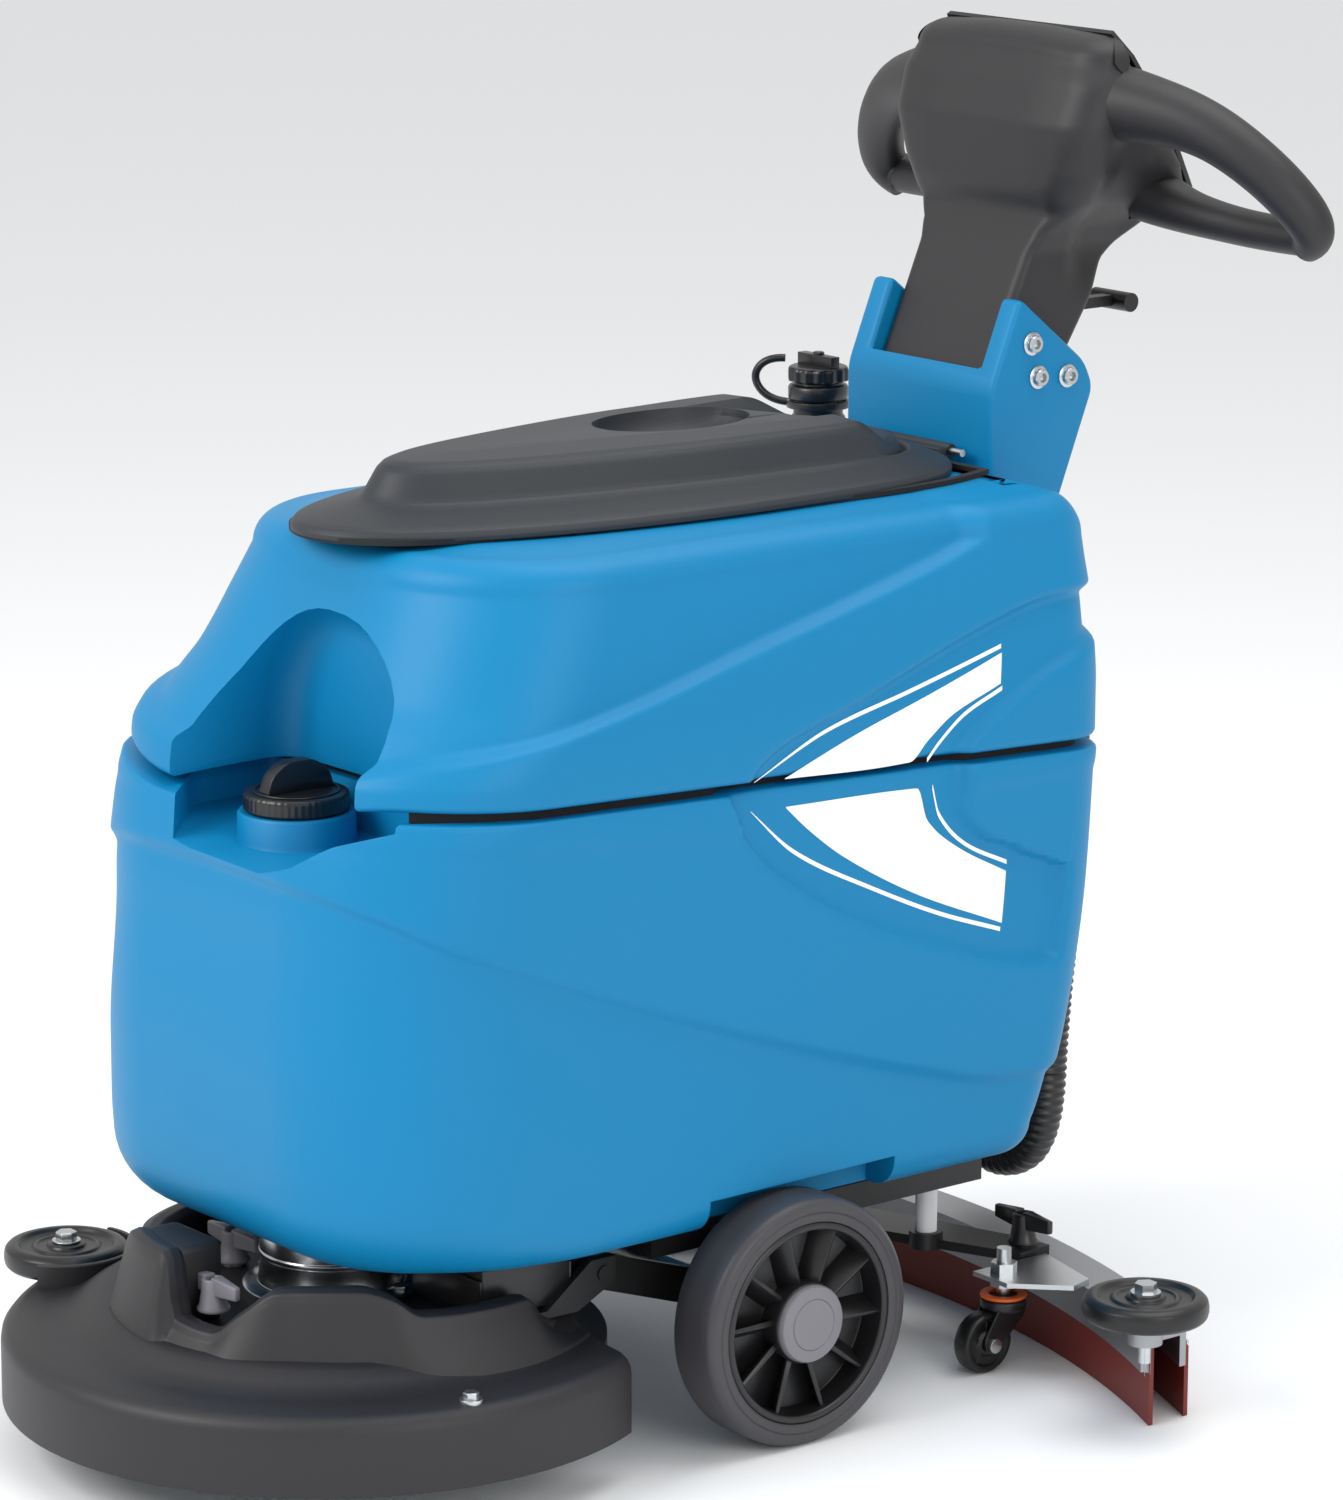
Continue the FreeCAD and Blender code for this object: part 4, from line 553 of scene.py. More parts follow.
def filler_arch(front, back):
    """The arched opening over the filler, wider towards the machine's left."""
    points = [(-74, 470), (-74, 540)]
    for i in range(1, 24):
        angle = math.pi * (1 - i / 24)
        reach = 89 if angle > math.pi / 2 else 132
        points.append((15 + reach * math.copysign(abs(math.cos(angle)) ** 0.9, math.cos(angle)),
                       540 + 123 * math.sin(angle)))
    return prism("xz", points + [(147, 540), (147, 470)], front, back)


def meet(shape, other):
    """The part two shapes share."""
    made = loose_object(shape, "shared")
    carve(made, [other], "INTERSECT")
    bm = bmesh.new()
    bm.from_mesh(made.data)
    bm.transform(INTO_FRAME.inverted())
    bpy.data.objects.remove(made)
    return bm


def lower_tank(size):
    wheel_boxes = [block((62, 191, 130), (side * 216, 19.5, 141)) for side in (1, -1)]
    bay = block((344, 358, 420), (0, 67, 402))
    duct = block((300, 55, 420), (0, 285.5, 630))
    # the shallow scoop under the filler's arch, where its face and its plan meet
    face = [(-120, 600), (-120, 498), (-20, 486), (70, 484), (105, 494), (140, 515), (190, 532), (190, 600)]
    plan = [(-38, -470), (-38, -392), (-104, -326), (-104, -250), (128, -250), (180, -330), (180, -470)]
    scoop = meet(prism("xz", face, -470, -240, 4), prism("xy", plan, 470, 640, 12))
    piece(mould(420, 96, lower_surface(size.crease)), "lower_tank", "chassis", "blue_tank",
          ["solution_tank"], edge=2.6, cutters=wheel_boxes + [bay, duct, scoop], sharp=50)
    neck = lathe([(27, 470), (54, 470), (48, 484), (46, 488), (45.5, 506), (44, 508), (30, 508), (27, 506)],
                 (0, -302, 0), segments=96)
    piece(neck, "filler_neck_ring", "chassis", "blue_tank")


def upper_tank(size):
    recess = filler_arch(-470, -256)
    bmesh.ops.bevel(recess, geom=[e for e in recess.edges if all(v.co.y > -260 for v in e.verts)],
                    offset=26, segments=6, profile=0.5, affect="EDGES", material=-1)
    notch = block((192, 120, 420), (0, 378, 640))
    mouth = prism("xy", [(-80, -196), (80, -196), (112, 0), (108, 170), (72, 254), (-72, 254), (-108, 170),
                         (-112, 0)],
                  640, 760, 20)
    piece(mould(420, 84, upper_surface(size.crease)), "upper_tank", "recovery", "blue_tank",
          ["recovery_tank"], edge=2.6, cutters=[recess, notch, mouth], sharp=50)
    # a dark sheet inset in the gap between the tanks, painted shade for the shadow there
    piece(mould(160, 4, gap_shade_surface), "tank_gap_shade", "recovery", "seal_rubber", cutters=[
        block((350, 260, 200), (0, -372, 540)), block((192, 120, 420), (0, 378, 640)),
        block((344, 340, 420), (0, 67, 402))])


# ---- printed side bands -------------------------------------------------------------

UPPER_BANDS = (
    ([(514, 529), (594, 563), (671, 580), (774, 603)], [(514, 528.5), (594, 559.5), (671, 576.5), (774, 599.5)]),
    ([(546, 527.5), (620, 552), (698, 574), (775, 596)],
     [(546, 527), (660, 522), (678, 522), (698, 537), (724, 554), (775, 572)]),
    ([(697, 523), (711, 536), (738, 555), (777, 570)], [(697, 519.5), (711, 532.5), (738, 551.5), (777, 566.5)]),
)
LOWER_BANDS = (
    ([(520, 506.5), (569, 469.5), (648, 430), (727, 396), (792, 374)],
     [(520, 506), (569, 466), (648, 426.5), (727, 392.5), (792, 370.5)]),
    ([(556, 505), (692, 500), (705, 473), (740, 446), (793, 419)],
     [(556, 504), (582, 483), (621, 456), (700, 414), (793, 377)]),
    ([(708, 501), (717, 478), (748, 449), (793, 428)], [(708, 497), (717, 473.5), (748, 445.5), (793, 424.5)]),
)


def side_bands(size):
    def band(pair, skin):
        top, foot = pair
        start, end = top[0][0], top[-1][0]

        def surface(share, rise, lift):
            run = start + share * (end - start)
            low = flow(run, foot)
            z = low + rise * (flow(run, top) - low)
            turn = run / (2 * sum(RUNS))
            x, y = skin(turn, z, 0.15 + lift, size.crease)
            return x, y, z
        return strip(90, 14, surface, 0.35)
    for name, bands, skin, body in (("upper", UPPER_BANDS, upper_skin, "recovery"),
                                    ("lower", LOWER_BANDS, lower_skin, "chassis")):
        piece(joined(*[sided(lambda b=b, s=skin: band(b, s)) for b in bands]), name + "_side_bands", body,
              "graphic_film")


# ---- lid ----------------------------------------------------------------------------

def egg(turn, inset, z):
    """The lid's outline: long and round in front, squarer behind."""
    angle = turn * math.tau
    ahead = math.cos(angle) > 0
    power = 2 / (2.05 if ahead else 3.4)
    reach = (351 if ahead else 240) - inset * (1.25 if ahead else 1.0)
    x = (136 - inset) * math.copysign(abs(math.sin(angle)) ** power, math.sin(angle))
    y = 60 - reach * math.copysign(abs(math.cos(angle)) ** power, math.cos(angle))
    return x, y, z


LID_RIM = [(0.0, 4, 716.6), (0.06, 0, 718), (0.12, 0, 722), (0.18, 2.5, 726), (0.24, 7, 728), (0.40, 36, 736),
           (0.46, 42, 738.5), (0.52, 45, 743), (0.66, 53, 760), (0.72, 57, 764.5), (0.78, 63, 767),
           (1.0, 104, 768.5)]


def lid(size):
    inset_line = [(level, inset) for level, inset, _ in LID_RIM]
    height_line = [(level, height) for level, _, height in LID_RIM]

    def surface(turn, level):
        ahead = ease(math.cos(turn * math.tau), 1.4)
        inset = along(level, inset_line) * (0.72 + 0.38 * ahead)
        x, y, z = egg(turn, inset, along(level, height_line))
        # the plateau stops short of the hinge, where the lid steps down
        z -= 20 * ease(y - 206, 46) * ease(z - 744, 16)
        return x, y, z
    shape = mould(220, 60, surface)
    grip = lathe([(0, 742), (30, 744), (42, 752), (47, 762), (48, 790), (0, 790)], (-8, 70, 0))
    bmesh.ops.scale(grip, verts=grip.verts, vec=(1, 1.5, 1), space=Matrix.Translation((8, -70, 0)))
    ribs = [block((4, 86, 3), (-8 + x, 70, 746)) for x in (-16, 0, 16)]
    hinge = block((116, 12, 9), (0, 299, 725))
    barrel = tube(3.1, 6, -58, 58, (0, 308, 726), "x", 24)
    piece(shape, "lid", "lid", "charcoal_plastic", ["tank_lid"],
                 edge=1.8, cutters=[grip], sharp=32)
    piece(joined(*ribs, hinge, barrel), "lid_hinge_and_ribs", "lid", "charcoal_plastic", edge=0.8)


# ---- handle -------------------------------------------------------------------------

def column(size):
    cheek = prism("yz", [(322, 664), (322, 778), (352, 851), (425, 792), (435, 770), (392, 664)],
                  -90, 90, 8)
    pocket = prism("yz", [(329, 690), (329, 900), (450, 900), (450, 771), (410, 745), (386, 690)], -67.6, 67.6)
    root = block((188, 92, 14), (0, 366, 668))
    piece(cheek, "handle_column", "chassis", "blue_tank", ["handle_column"], edge=4.5,
          cutters=[pocket], sharp=30)
    piece(root, "column_root", "chassis", "blue_tank", edge=5)


# shares of the head's outline: half its front, a corner, its side, a corner, half its rear
HEAD_RUNS = (52, 24, 60, 24, 40)
SCREWS = ((365, 812), (372, 784), (404, 782))


def head(size):
    half_line = [(748, 66), (880, 68), (897, 74), (920, 96), (945, 112), (975, 122), (1015, 126), (1040, 120),
                 (1060, 110)]
    front_line = [(748, -331), (777, -333), (780, -334.5), (896, -386), (912, -393), (924, -391), (985, -388),
                  (1020, -399),
                  (1044, -410)]
    rear_line = [(748, 412), (778, 424), (798, 428), (869, 472), (915, 530), (925, 538), (1046, 449)]

    def skin(turn, z, inset):
        half, front, rear = (along(z, line) for line in (half_line, front_line, rear_line))
        corner = 9 + 22 * ease(z - 915, 50)
        x, y = outline(turn, half - inset, front - inset, rear - 0.1 * inset, max(corner - inset, 2),
                       max(corner - inset, 2), HEAD_RUNS)
        # a shallow rib down the middle of the head's front, and hollows in the neck's flanks
        y -= 6 * ease(90 - abs(x), 70) * ease(z - 925, 24) * ease(460 - y, 60)
        flank = ease(z - 855, 40) * ease(985 - z, 60) * ease(y - 432, 30) * ease(500 - y, 40)
        x -= math.copysign(9 * flank, x)
        return x, y

    def surface(turn, level):
        if level < 0.85:
            z = 748 + 292 * level / 0.85
            x, y = skin(turn, z, 0)
        else:
            angle = (level - 0.85) / 0.15 * math.pi / 2
            z = 1040 + 20 * math.sin(angle)
            x, y = skin(turn, 1040, 30 * (1 - math.cos(angle)))
        return x, y, z - 4 * ease(abs(x) - 60, 80) * ease(z - 1030, 30)
    screws = [rod(4.1, -120, 120, (0, y, z), "x", 24)
              for y, z in SCREWS]
    # the panel's slope falls 135 mm in 100
    run, rise = 100 / 168.0, 135 / 168.0
    tilt = Matrix.Rotation(-math.atan2(135, 100), 4, "X")
    window = block((160, 148, 60), (0, 440 + 84 * run - 26 * rise, 1060 - 84 * rise - 26 * run), tilt)
    slope = block((300, 300, 60), (0, 490 + 26.5 * rise, 992.5 + 26.5 * run), tilt)
    piece(mould(168, 90, surface), "handle_head", "chassis", "black_plastic", ["head_shell"], edge=2.2,
          cutters=screws + [slope, window], sharp=42)
    fixings = joined(*[sided(lambda y=y, z=z: lathe(
        [(0, 86), (9.5, 86), (9.5, 91.4), (8.6, 92), (7.2, 92.2), (7.2, 95.6), (6.2, 96.6), (3.8, 96.6), (3.2, 93),
         (0, 93)], (0, y, z), "x", 36)) for y, z in SCREWS])
    piece(fixings, "column_screws", "chassis", "zinc_steel", ["column_screws"])
    ears = joined(block((6, 60, 20), (10, 440, 822)), block((6, 60, 20), (-10, 440, 822)),
                  rod(4, -14, 14, (0, 462, 822), "x", 24))
    piece(ears, "lever_ears", "chassis", "frame_steel", edge=1)


def grips(size):
    def make():
        arm = swept([(52, 428, 1006), (95, 436, 1004), (140, 447, 1000), (186, 461, 990), (226, 478, 964),
                     (256, 498, 932), (264, 514, 906), (246, 518, 897)], [35, 33, 27, 23, 21, 20, 18, 15])
        bar = swept([(60, 500, 930), (96, 506, 913), (150, 512, 905), (200, 516, 901), (250, 517, 902)],
                    [30, 20, 15, 15, 15])
        knob = bmesh.new()
        bmesh.ops.create_uvsphere(knob, u_segments=28, v_segments=16, radius=17.5,
                                  matrix=Matrix.Translation((252, 517, 904)))
        return joined(arm, bar, knob)
    piece(sided(make), "handle_grips", "chassis", "black_plastic", ["handle_grips"])


# ---- brush deck ---------------------------------------------------------------------

DECK = (0, -274, 0)
DECK_SKIN = [(258, 39), (258, 86), (257, 92), (253, 97), (246, 100), (222, 102), (208, 105), (200, 110),
             (192, 116), (184, 119.5), (176, 120), (13, 120), (13, 114), (180, 114), (196, 103), (214, 96),
             (236, 94), (248, 91), (252, 84), (252, 39)]
ROLLER_SPOT = (-218, -378)
# height and reach of the hood's rim, by degrees round from the front towards the machine's left
HOOD_TOP = [(-180, 119), (-122, 119), (-112, 140), (-80, 150), (-27, 152), (-22, 183), (5, 186), (9, 137),
            (22, 134), (30, 150), (40, 169), (62, 171), (70, 165), (77, 152), (106, 149), (113, 128), (121, 119),
            (180, 119)]
HOOD_REACH = [(-180, 192), (-100, 192), (-70, 174), (-42, 150), (-24, 158), (6, 167), (24, 172), (45, 163),
              (62, 166), (78, 181), (106, 190), (180, 192)]


def deck(size):
    behind = block((600, 300, 300), (0, -8, 100))
    pocket = rod(52.5, 101.5, 180, (*ROLLER_SPOT, 0))
    shell = lathe(DECK_SKIN, DECK, segments=160)
    piece(shell, "deck_cover", "deck", "black_plastic", ["deck_cover"],
                 edge=2.0, cutters=[behind.copy(), pocket.copy()], sharp=42)
    pad = lathe([(5.2, 96), (57, 96), (57, 119.5), (56, 120.5), (52.6, 120.5), (52.6, 101.4), (5.2, 101.4)],
                (*ROLLER_SPOT, 0), segments=96)
    outside = tube(241, 420, 60, 200, DECK, segments=120)
    piece(pad, "roller_pocket", "deck", "black_plastic", cutters=[outside])
    def hood(turn, level):
        """The raised inner moulding: a leaning wall whose top steps down round the deck."""
        angle = turn * math.tau
        side = math.degrees(angle)
        top, reach = flow(side, HOOD_TOP), flow(side, HOOD_REACH)
        radius = along(level, [(0, reach + 26), (0.1, reach + 22), (0.55, reach + 3), (0.62, reach),
                               (0.7, reach - 7),
                               (0.8, reach - 15), (0.86, reach - 19), (1, reach - 22)])
        z = along(level, [(0, 99), (0.1, 106), (0.55, top - 9), (0.62, top - 2.5), (0.7, top),
                          (0.8, top - 1), (0.86, top - 6), (1, 118.5)])
        return DECK[0] + radius * math.sin(angle), DECK[1] - radius * math.cos(angle), z
    piece(mould(240, 60, hood), "deck_hood", "deck", "black_plastic", edge=1,
          cutters=[behind.copy(), pocket.copy()], sharp=50)
    piece(block((64, 42, 64), (-22, -403, 151)), "deck_tower", "deck", "black_plastic", edge=6)
    piece(winged_knob(24, -402, 133), "deck_wing_bolt", "deck", "grey_plastic", edge=1.6)
    bolts = []
    for side in (1, -1):
        x, y = side * 240 * math.cos(math.radians(10)), -274 - 240 * math.sin(math.radians(10))
        bolts += [rod(9, 98, 102, (x, y, 0), segments=32),
                  lathe([(0, 102), (6.4, 102), (6.4, 106.6), (5.4, 107.4), (0, 107.4)], (x, y, 0), segments=6)]
    bolts += [lathe([(0, 101), (5, 101), (5, 123.4), (11.5, 123.4), (11.5, 125), (0, 125)], (*ROLLER_SPOT, 0),
                    segments=32),
              lathe([(0, 125), (8.6, 125), (8.6, 131), (7.4, 132), (0, 132)], (*ROLLER_SPOT, 0), segments=6),
              lathe([(0, 110), (4.9, 110), (4.9, 143), (4, 144), (0, 144)], (-95, -301, 0), segments=24),
              tube(5.2, 10, 120.2, 122, (-95, -301, 0), segments=32)]
    piece(joined(*bolts), "deck_bolts", "deck", "zinc_steel", ["deck_bolts"], edge=0.4)


def drive(size):
    can = lathe([(0, 118), (70, 118), (70, 126), (66, 128), (58, 129), (57, 134), (56, 136), (56, 150), (57, 151),
                 (57, 154), (56, 155), (56, 172), (54, 176), (44, 178), (0, 178)], DECK, segments=96)
    piece(can, "drive_motor", "deck", "motor_steel", ["gear_motor"], edge=0.8)
    shaft = rod(11.9, 74, 119, DECK)
    piece(shaft, "drive_shaft", "deck", "motor_steel")
    case = joined(block((88, 84, 40), (116, -205, 148)),
                  *[block((5, 84, 4), (84 + 13 * i, -205, 169)) for i in range(6)],
                  *[block((88, 3, 28), (116, y, 146)) for y in (-248, -162)])
    piece(case, "drive_housing", "deck", "smooth_plastic", edge=2.5)
    feet = [lathe([(0, 126), (6.5, 126), (6.5, 131), (5, 132), (0, 132)],
                  (62 * math.cos(a), -274 + 62 * math.sin(a), 0),
                  segments=6) for a in (0.4, 2.0, 3.5, 5.1)]
    piece(joined(*feet), "drive_bolts", "deck", "zinc_steel", edge=0.5)


def brush(size):
    """The brush's rings of tufts."""
    ring = []
    for row, radius in enumerate((92, 118, 144, 170, 196)):
        count = int(radius * math.tau / 30)
        for i in range(count):
            angle = math.tau * (i + row * 0.5) / count
            tuft = bmesh.new()
            bmesh.ops.create_cone(tuft, cap_ends=True, segments=6, radius1=9, radius2=5, depth=31,
                                  matrix=Matrix.Translation((radius * math.cos(angle),
                                                             -274 + radius * math.sin(angle), 55.5)))
            ring.append(tuft)
    piece(joined(*ring), "brush_tufts", "brush", "bristle", ["brush_bristles"])


# ---- wheels and rollers -------------------------------------------------------------

def main_wheels(size):
    for side, sign in SIDES:
        main_wheel(side, sign, size.spokes)


def main_wheel(side, sign, spokes):
    centre = (sign * 230, 0, 100)

    def turned(points):
        shape = lathe([(radius, offset) for radius, offset in points], (0, 0, 0), "x", 120)
        if sign < 0:
            mirrored(shape)
        bmesh.ops.translate(shape, verts=shape.verts, vec=centre)
        return shape
    tyre = turned([(81, -24), (94, -25), (98, -22.5), (99.8, -18), (100, -8), (100, 8), (99.8, 18), (98, 22),
                   (95, 24.3), (89.4, 25), (88.6, 24), (87.8, 25), (83, 24.6), (81, 23.6)])
    piece(tyre, side + "_tyre", side + "_wheel", "tyre_rubber", [side + "_tyre"],
          edge=0.5, sharp=30)
    rim = turned([(80.9, -23), (80.9, 23), (79, 24.4), (76, 24.4), (74.5, 22.5), (73, 12), (73, 2), (31, 2),
                  (33, 20), (31.5, 23.5), (28, 24), (10.1, 24), (10.1, -22), (30, -22), (32, -3), (73, -3),
                  (73, -21)])
    vanes = []
    for i in range(spokes):
        vane = block((27, 3.2, 44))
        bmesh.ops.scale(vane, verts=[v for v in vane.verts if v.co.z < 0], vec=(0.8, 1.5, 1))
        vane.transform(Matrix.Translation((sign * 8, 0, 52.5)) @ Matrix.Rotation(sign * math.radians(30), 4, "Z"))
        vane.transform(Matrix.Translation(centre) @ Matrix.Rotation(math.tau * (i + 0.5) / spokes, 4, "X"))
        vanes.append(vane)
    piece(joined(rim, *vanes), side + "_wheel_rim", side + "_wheel", "smooth_plastic",
          [side + "_wheel"], edge=0.8, sharp=30)
    cap = turned([(0, 22), (31, 22), (31, 26), (29.8, 28), (27, 28.8), (21, 29), (20.4, 28.4), (19.8, 29.2),
                  (0, 29.6)])
    piece(cap, side + "_hub_cap", side + "_wheel", "grey_plastic", [side + "_hub_cap"])


ROLLER_SKIN = [(5.1, 0), (42, 0), (46.5, 1.2), (49, 3.8), (50, 8), (50, 12), (49, 16.2), (46.5, 18.8), (43, 20),
               (39, 20), (37.5, 18.4), (36, 16.8), (28, 16.4), (26.5, 18), (24, 18.4), (22.5, 17), (16, 17),
               (15, 19), (12.5, 20), (5.1, 20)]


def rollers(size):
    for name, body, x, y, z in (("front_roller", "front_roller", *ROLLER_SPOT, 103),
                                ("left_roller", "left_roller", 384, 234, 90),
                                ("right_roller", "right_roller", -384, 234, 90)):
        piece(lathe(ROLLER_SKIN, (x, y, z), segments=96), name, body, "roller_rubber", [name], edge=0.5, sharp=30)


# ---- squeegee's small pieces --------------------------------------------------------

def winged_knob(x, y, z):
    """A plastic knob with two pointed wings on a round foot."""
    foot = lathe([(5.3, 0), (13, 0), (13, 3), (11, 6), (9.5, 16), (9, 26), (5.3, 26)], (x, y, z + 0.4), segments=32)
    bars = []
    for sign in (1, -1):
        wing = block((29, 11, 15))
        bmesh.ops.scale(wing, verts=[v for v in wing.verts if v.co.x > 0], vec=(1, 0.5, 0.72))
        wing.transform(Matrix.Translation((x + sign * 18.5, y, z + 21))
                       @ Matrix.Rotation(0 if sign > 0 else math.pi, 4, "Z"))
        bars.append(wing)
    return joined(foot, *bars)


def knobs(size):
    for side, sign in SIDES:
        piece(winged_knob(sign * 172, 297, 86), side + "_wing_knob", side + "_wing_knob",
              "smooth_plastic", [side + "_wing_knob"], edge=1.6)
    piece(winged_knob(-95, -301, 122), "deck_knob", "deck_knob", "grey_plastic", ["deck_knob"], edge=1.6)


def casters(size):
    for side, sign in SIDES:
        x, swivel_y, axle_y = sign * 203, 248, 226
        wheel = joined(lathe([(4.1, -8.6), (9, -8.6), (11, -6), (18, -6), (19, -8), (23, -8.6), (25, -6), (25, 6),
                              (23, 8.6), (19, 8), (18, 6), (11, 6), (9, 8.6), (4.1, 8.6)], (x, axle_y, 25), "x",
                              60),
                       *[block((13, 4, 10), (x, axle_y, 25), Matrix.Rotation(math.tau * i / 5, 4, "X")
                               @ Matrix.Translation((0, 0, 14.5))) for i in range(5)])
        piece(wheel, side + "_caster_wheel", side + "_caster_wheel", "roller_rubber",
              [side + "_caster_wheel"], edge=0.6)
        crown = lathe([(6.2, 49), (17, 49), (19, 51), (19, 57), (17, 59), (6.2, 59)], (x, swivel_y, 0))
        cheeks = [prism("yz", [(swivel_y + 15, 55), (swivel_y + 12, 44), (axle_y + 6, 19), (axle_y - 6, 19),
                               (axle_y - 8, 30), (swivel_y - 14, 55)], x + at - 1.3, x + at + 1.3, 3)
                  for at in (-11.2, 11.2)]
        bolt = lathe([(0, -17), (6, -17), (6, -13), (3.9, -12.6), (3.9, 12.6), (6, 13), (6, 17), (0, 17)],
                     (x, axle_y, 25), "x", 24)
        piece(joined(crown, *cheeks), side + "_caster_fork", side + "_caster_fork", "smooth_plastic",
              [side + "_caster_fork"], edge=0.8)
        piece(bolt, side + "_caster_bolt", side + "_caster_fork", "zinc_steel", edge=0.4)
        ring = lathe([(12, 59.2), (18.6, 59.2), (19.4, 60.6), (18.6, 62), (12, 62)], (x, swivel_y, 0))
        piece(ring, side + "_caster_race", side + "_caster_fork", "orange_race", edge=0.3)


# ---- caps and drain hose ------------------------------------------------------------

def fluted(radius, low, high, flutes, depth, centre):
    """A round cap with a fluted rim."""
    lines = [(0.0, radius - 1, low), (0.1, radius, low + 1), (0.55, radius, high - 3), (0.7, radius - 1, high - 1),
             (0.8, radius - 3, high), (1.0, 3, high + 0.6)]
    width = [(level, value) for level, value, _ in lines]
    height = [(level, value) for level, _, value in lines]

    def surface(turn, level):
        flute = depth * (0.5 - 0.5 * math.cos(turn * math.tau * flutes)) * ease(0.7 - level, 0.1)
        reach = along(level, width) - flute
        angle = turn * math.tau
        return centre[0] + reach * math.sin(angle), centre[1] - reach * math.cos(angle), along(level, height)
    return mould(flutes * 8, 24, surface)


def caps():
    fin = prism("yz", [(-334, 521), (-328, 538), (-314, 547), (-290, 547), (-276, 538), (-270, 521)], -6.5, 6.5, 5)
    cap = joined(fluted(41, 509, 523, 48, 0.35, (0, -302)), fin,
                 tube(31, 34, 523, 524.4, (0, -302, 0)))
    piece(cap, "filler_cap", "filler_cap", "smooth_plastic", ["filler_cap"], edge=1.5,
          sharp=50)
    x, y = -181, 369
    top = joined(fluted(26, 746.5, 759, 14, 2.2, (x, y)), block((44, 9, 11), (x, y, 763)),
                 lathe([(0, 766), (5, 766), (5, 770), (4, 771), (0, 771)], (x, y, 0), segments=24),
                 rod(15.3, 735, 748, (x, y, 0)))
    cap = piece(top, "drain_cap", "drain_cap", "smooth_plastic", ["drain_cap"], edge=1.0)
    cuff = lathe([(16, 712), (23, 712), (23, 716), (21, 718), (21, 730), (24.5, 731), (25.5, 733),
                         (25.5, 741), (24.5, 743), (21, 744), (21, 746), (16, 746)], (x, y, 0))
    cuff = piece(cuff, "drain_hose_cuff", "recovery", "smooth_plastic", ["drain_hose_cuff"],
                 edge=0.6)
    collar = tube(23.3, 27, 724, 730, (x, y, 0))
    strap = swept([(x - 20, y - 16, 727), (x - 31, y - 26, 728), (x - 41, y - 36, 740), (x - 41, y - 36, 756),
                   (x - 31, y - 28, 765), (x - 22, y - 18, 764.5)], [3.4] * 6, sides=4)
    strap = piece(joined(collar, strap), "drain_cap_strap", "recovery", "smooth_plastic",
                  ["drain_cap_strap"], edge=0.5)
    return cuff, strap, cap


HOSE_ROUTE = [
    (120, 384, 500), (119, 386, 390), (99, 387, 258), (95, 386, 139), (42.5, 385, 108.7),
    (-10, 384, 139), (-14, 385, 258), (-60, 385, 385), (-128, 381, 490), (-180, 370, 600),
    (-181, 369, 712),
]
HOSE_LENGTH, HOSE_DIAMETER = 1.079, 0.037


def hose(size, pieces_on_it):
    """The ribbed drain hose, which hangs in a loop behind the tanks."""
    line = bpy.data.curves.new("drain_hose_line", "CURVE")
    line.dimensions = "3D"
    line.resolution_u = 40
    run = line.splines.new("NURBS")
    run.points.add(len(HOSE_ROUTE) - 1)
    for spot, point in zip(run.points, HOSE_ROUTE):
        spot.co = (*place(*point), 1)
    run.order_u = 3
    run.use_endpoint_u = True
    holder = bpy.data.objects.new("drain_hose_line", line)
    bpy.context.scene.collection.objects.link(holder)
    mesh = bpy.data.meshes.new_from_object(evaluated(holder))
    path = [vert.co.copy() for vert in mesh.vertices]
    bpy.data.objects.remove(holder)
    steps = [0.0]
    for a, b in zip(path, path[1:]):
        steps.append(steps[-1] + (b - a).length)
    length = steps[-1]
    inverse = INTO_FRAME.inverted()

    def spot_at(distance):
        i = max(1, min(len(path) - 1, next((k for k, s in enumerate(steps) if s >= distance), len(path) - 1)))
        share = (distance - steps[i - 1]) / max(steps[i] - steps[i - 1], 1e-9)
        ahead = (path[i] - path[i - 1]).normalized()
        return path[i - 1].lerp(path[i], min(max(share, 0), 1)), ahead
    rings = int(length / 0.0016)
    frames = []
    across = Vector((1, 0, 0))
    for k in range(rings + 1):
        centre, ahead = spot_at(length * k / rings)
        across = (across - ahead * across.dot(ahead)).normalized()
        frames.append((centre, across.copy(), ahead.cross(across)))

    def surface(turn, level):
        k = round(level * rings)
        centre, across, up = frames[k]
        rib = 0.5 - 0.5 * math.cos(math.tau * k * length / rings / (size.hose_pitch * MM))
        reach = HOSE_DIAMETER / 2 - 0.0022 * (1 - rib)
        angle = turn * math.tau
        return inverse @ (centre + across * reach * math.cos(angle) + up * reach * math.sin(angle))
    made = piece(mould(28, rings, surface), "drain_hose", "recovery", "hose_plastic", ["drain_hose"], sharp=60)


def drain(size):
    hose(size, caps())


def plain_parts(size):
    """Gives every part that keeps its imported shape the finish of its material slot."""
    for part in frame["record"]["subparts"]:
        for slot in frame["nodes"][part["node"]].material_slots:
            slot.material = PAINT[part["material_slot"]]


# ---- stage --------------------------------------------------------------------------

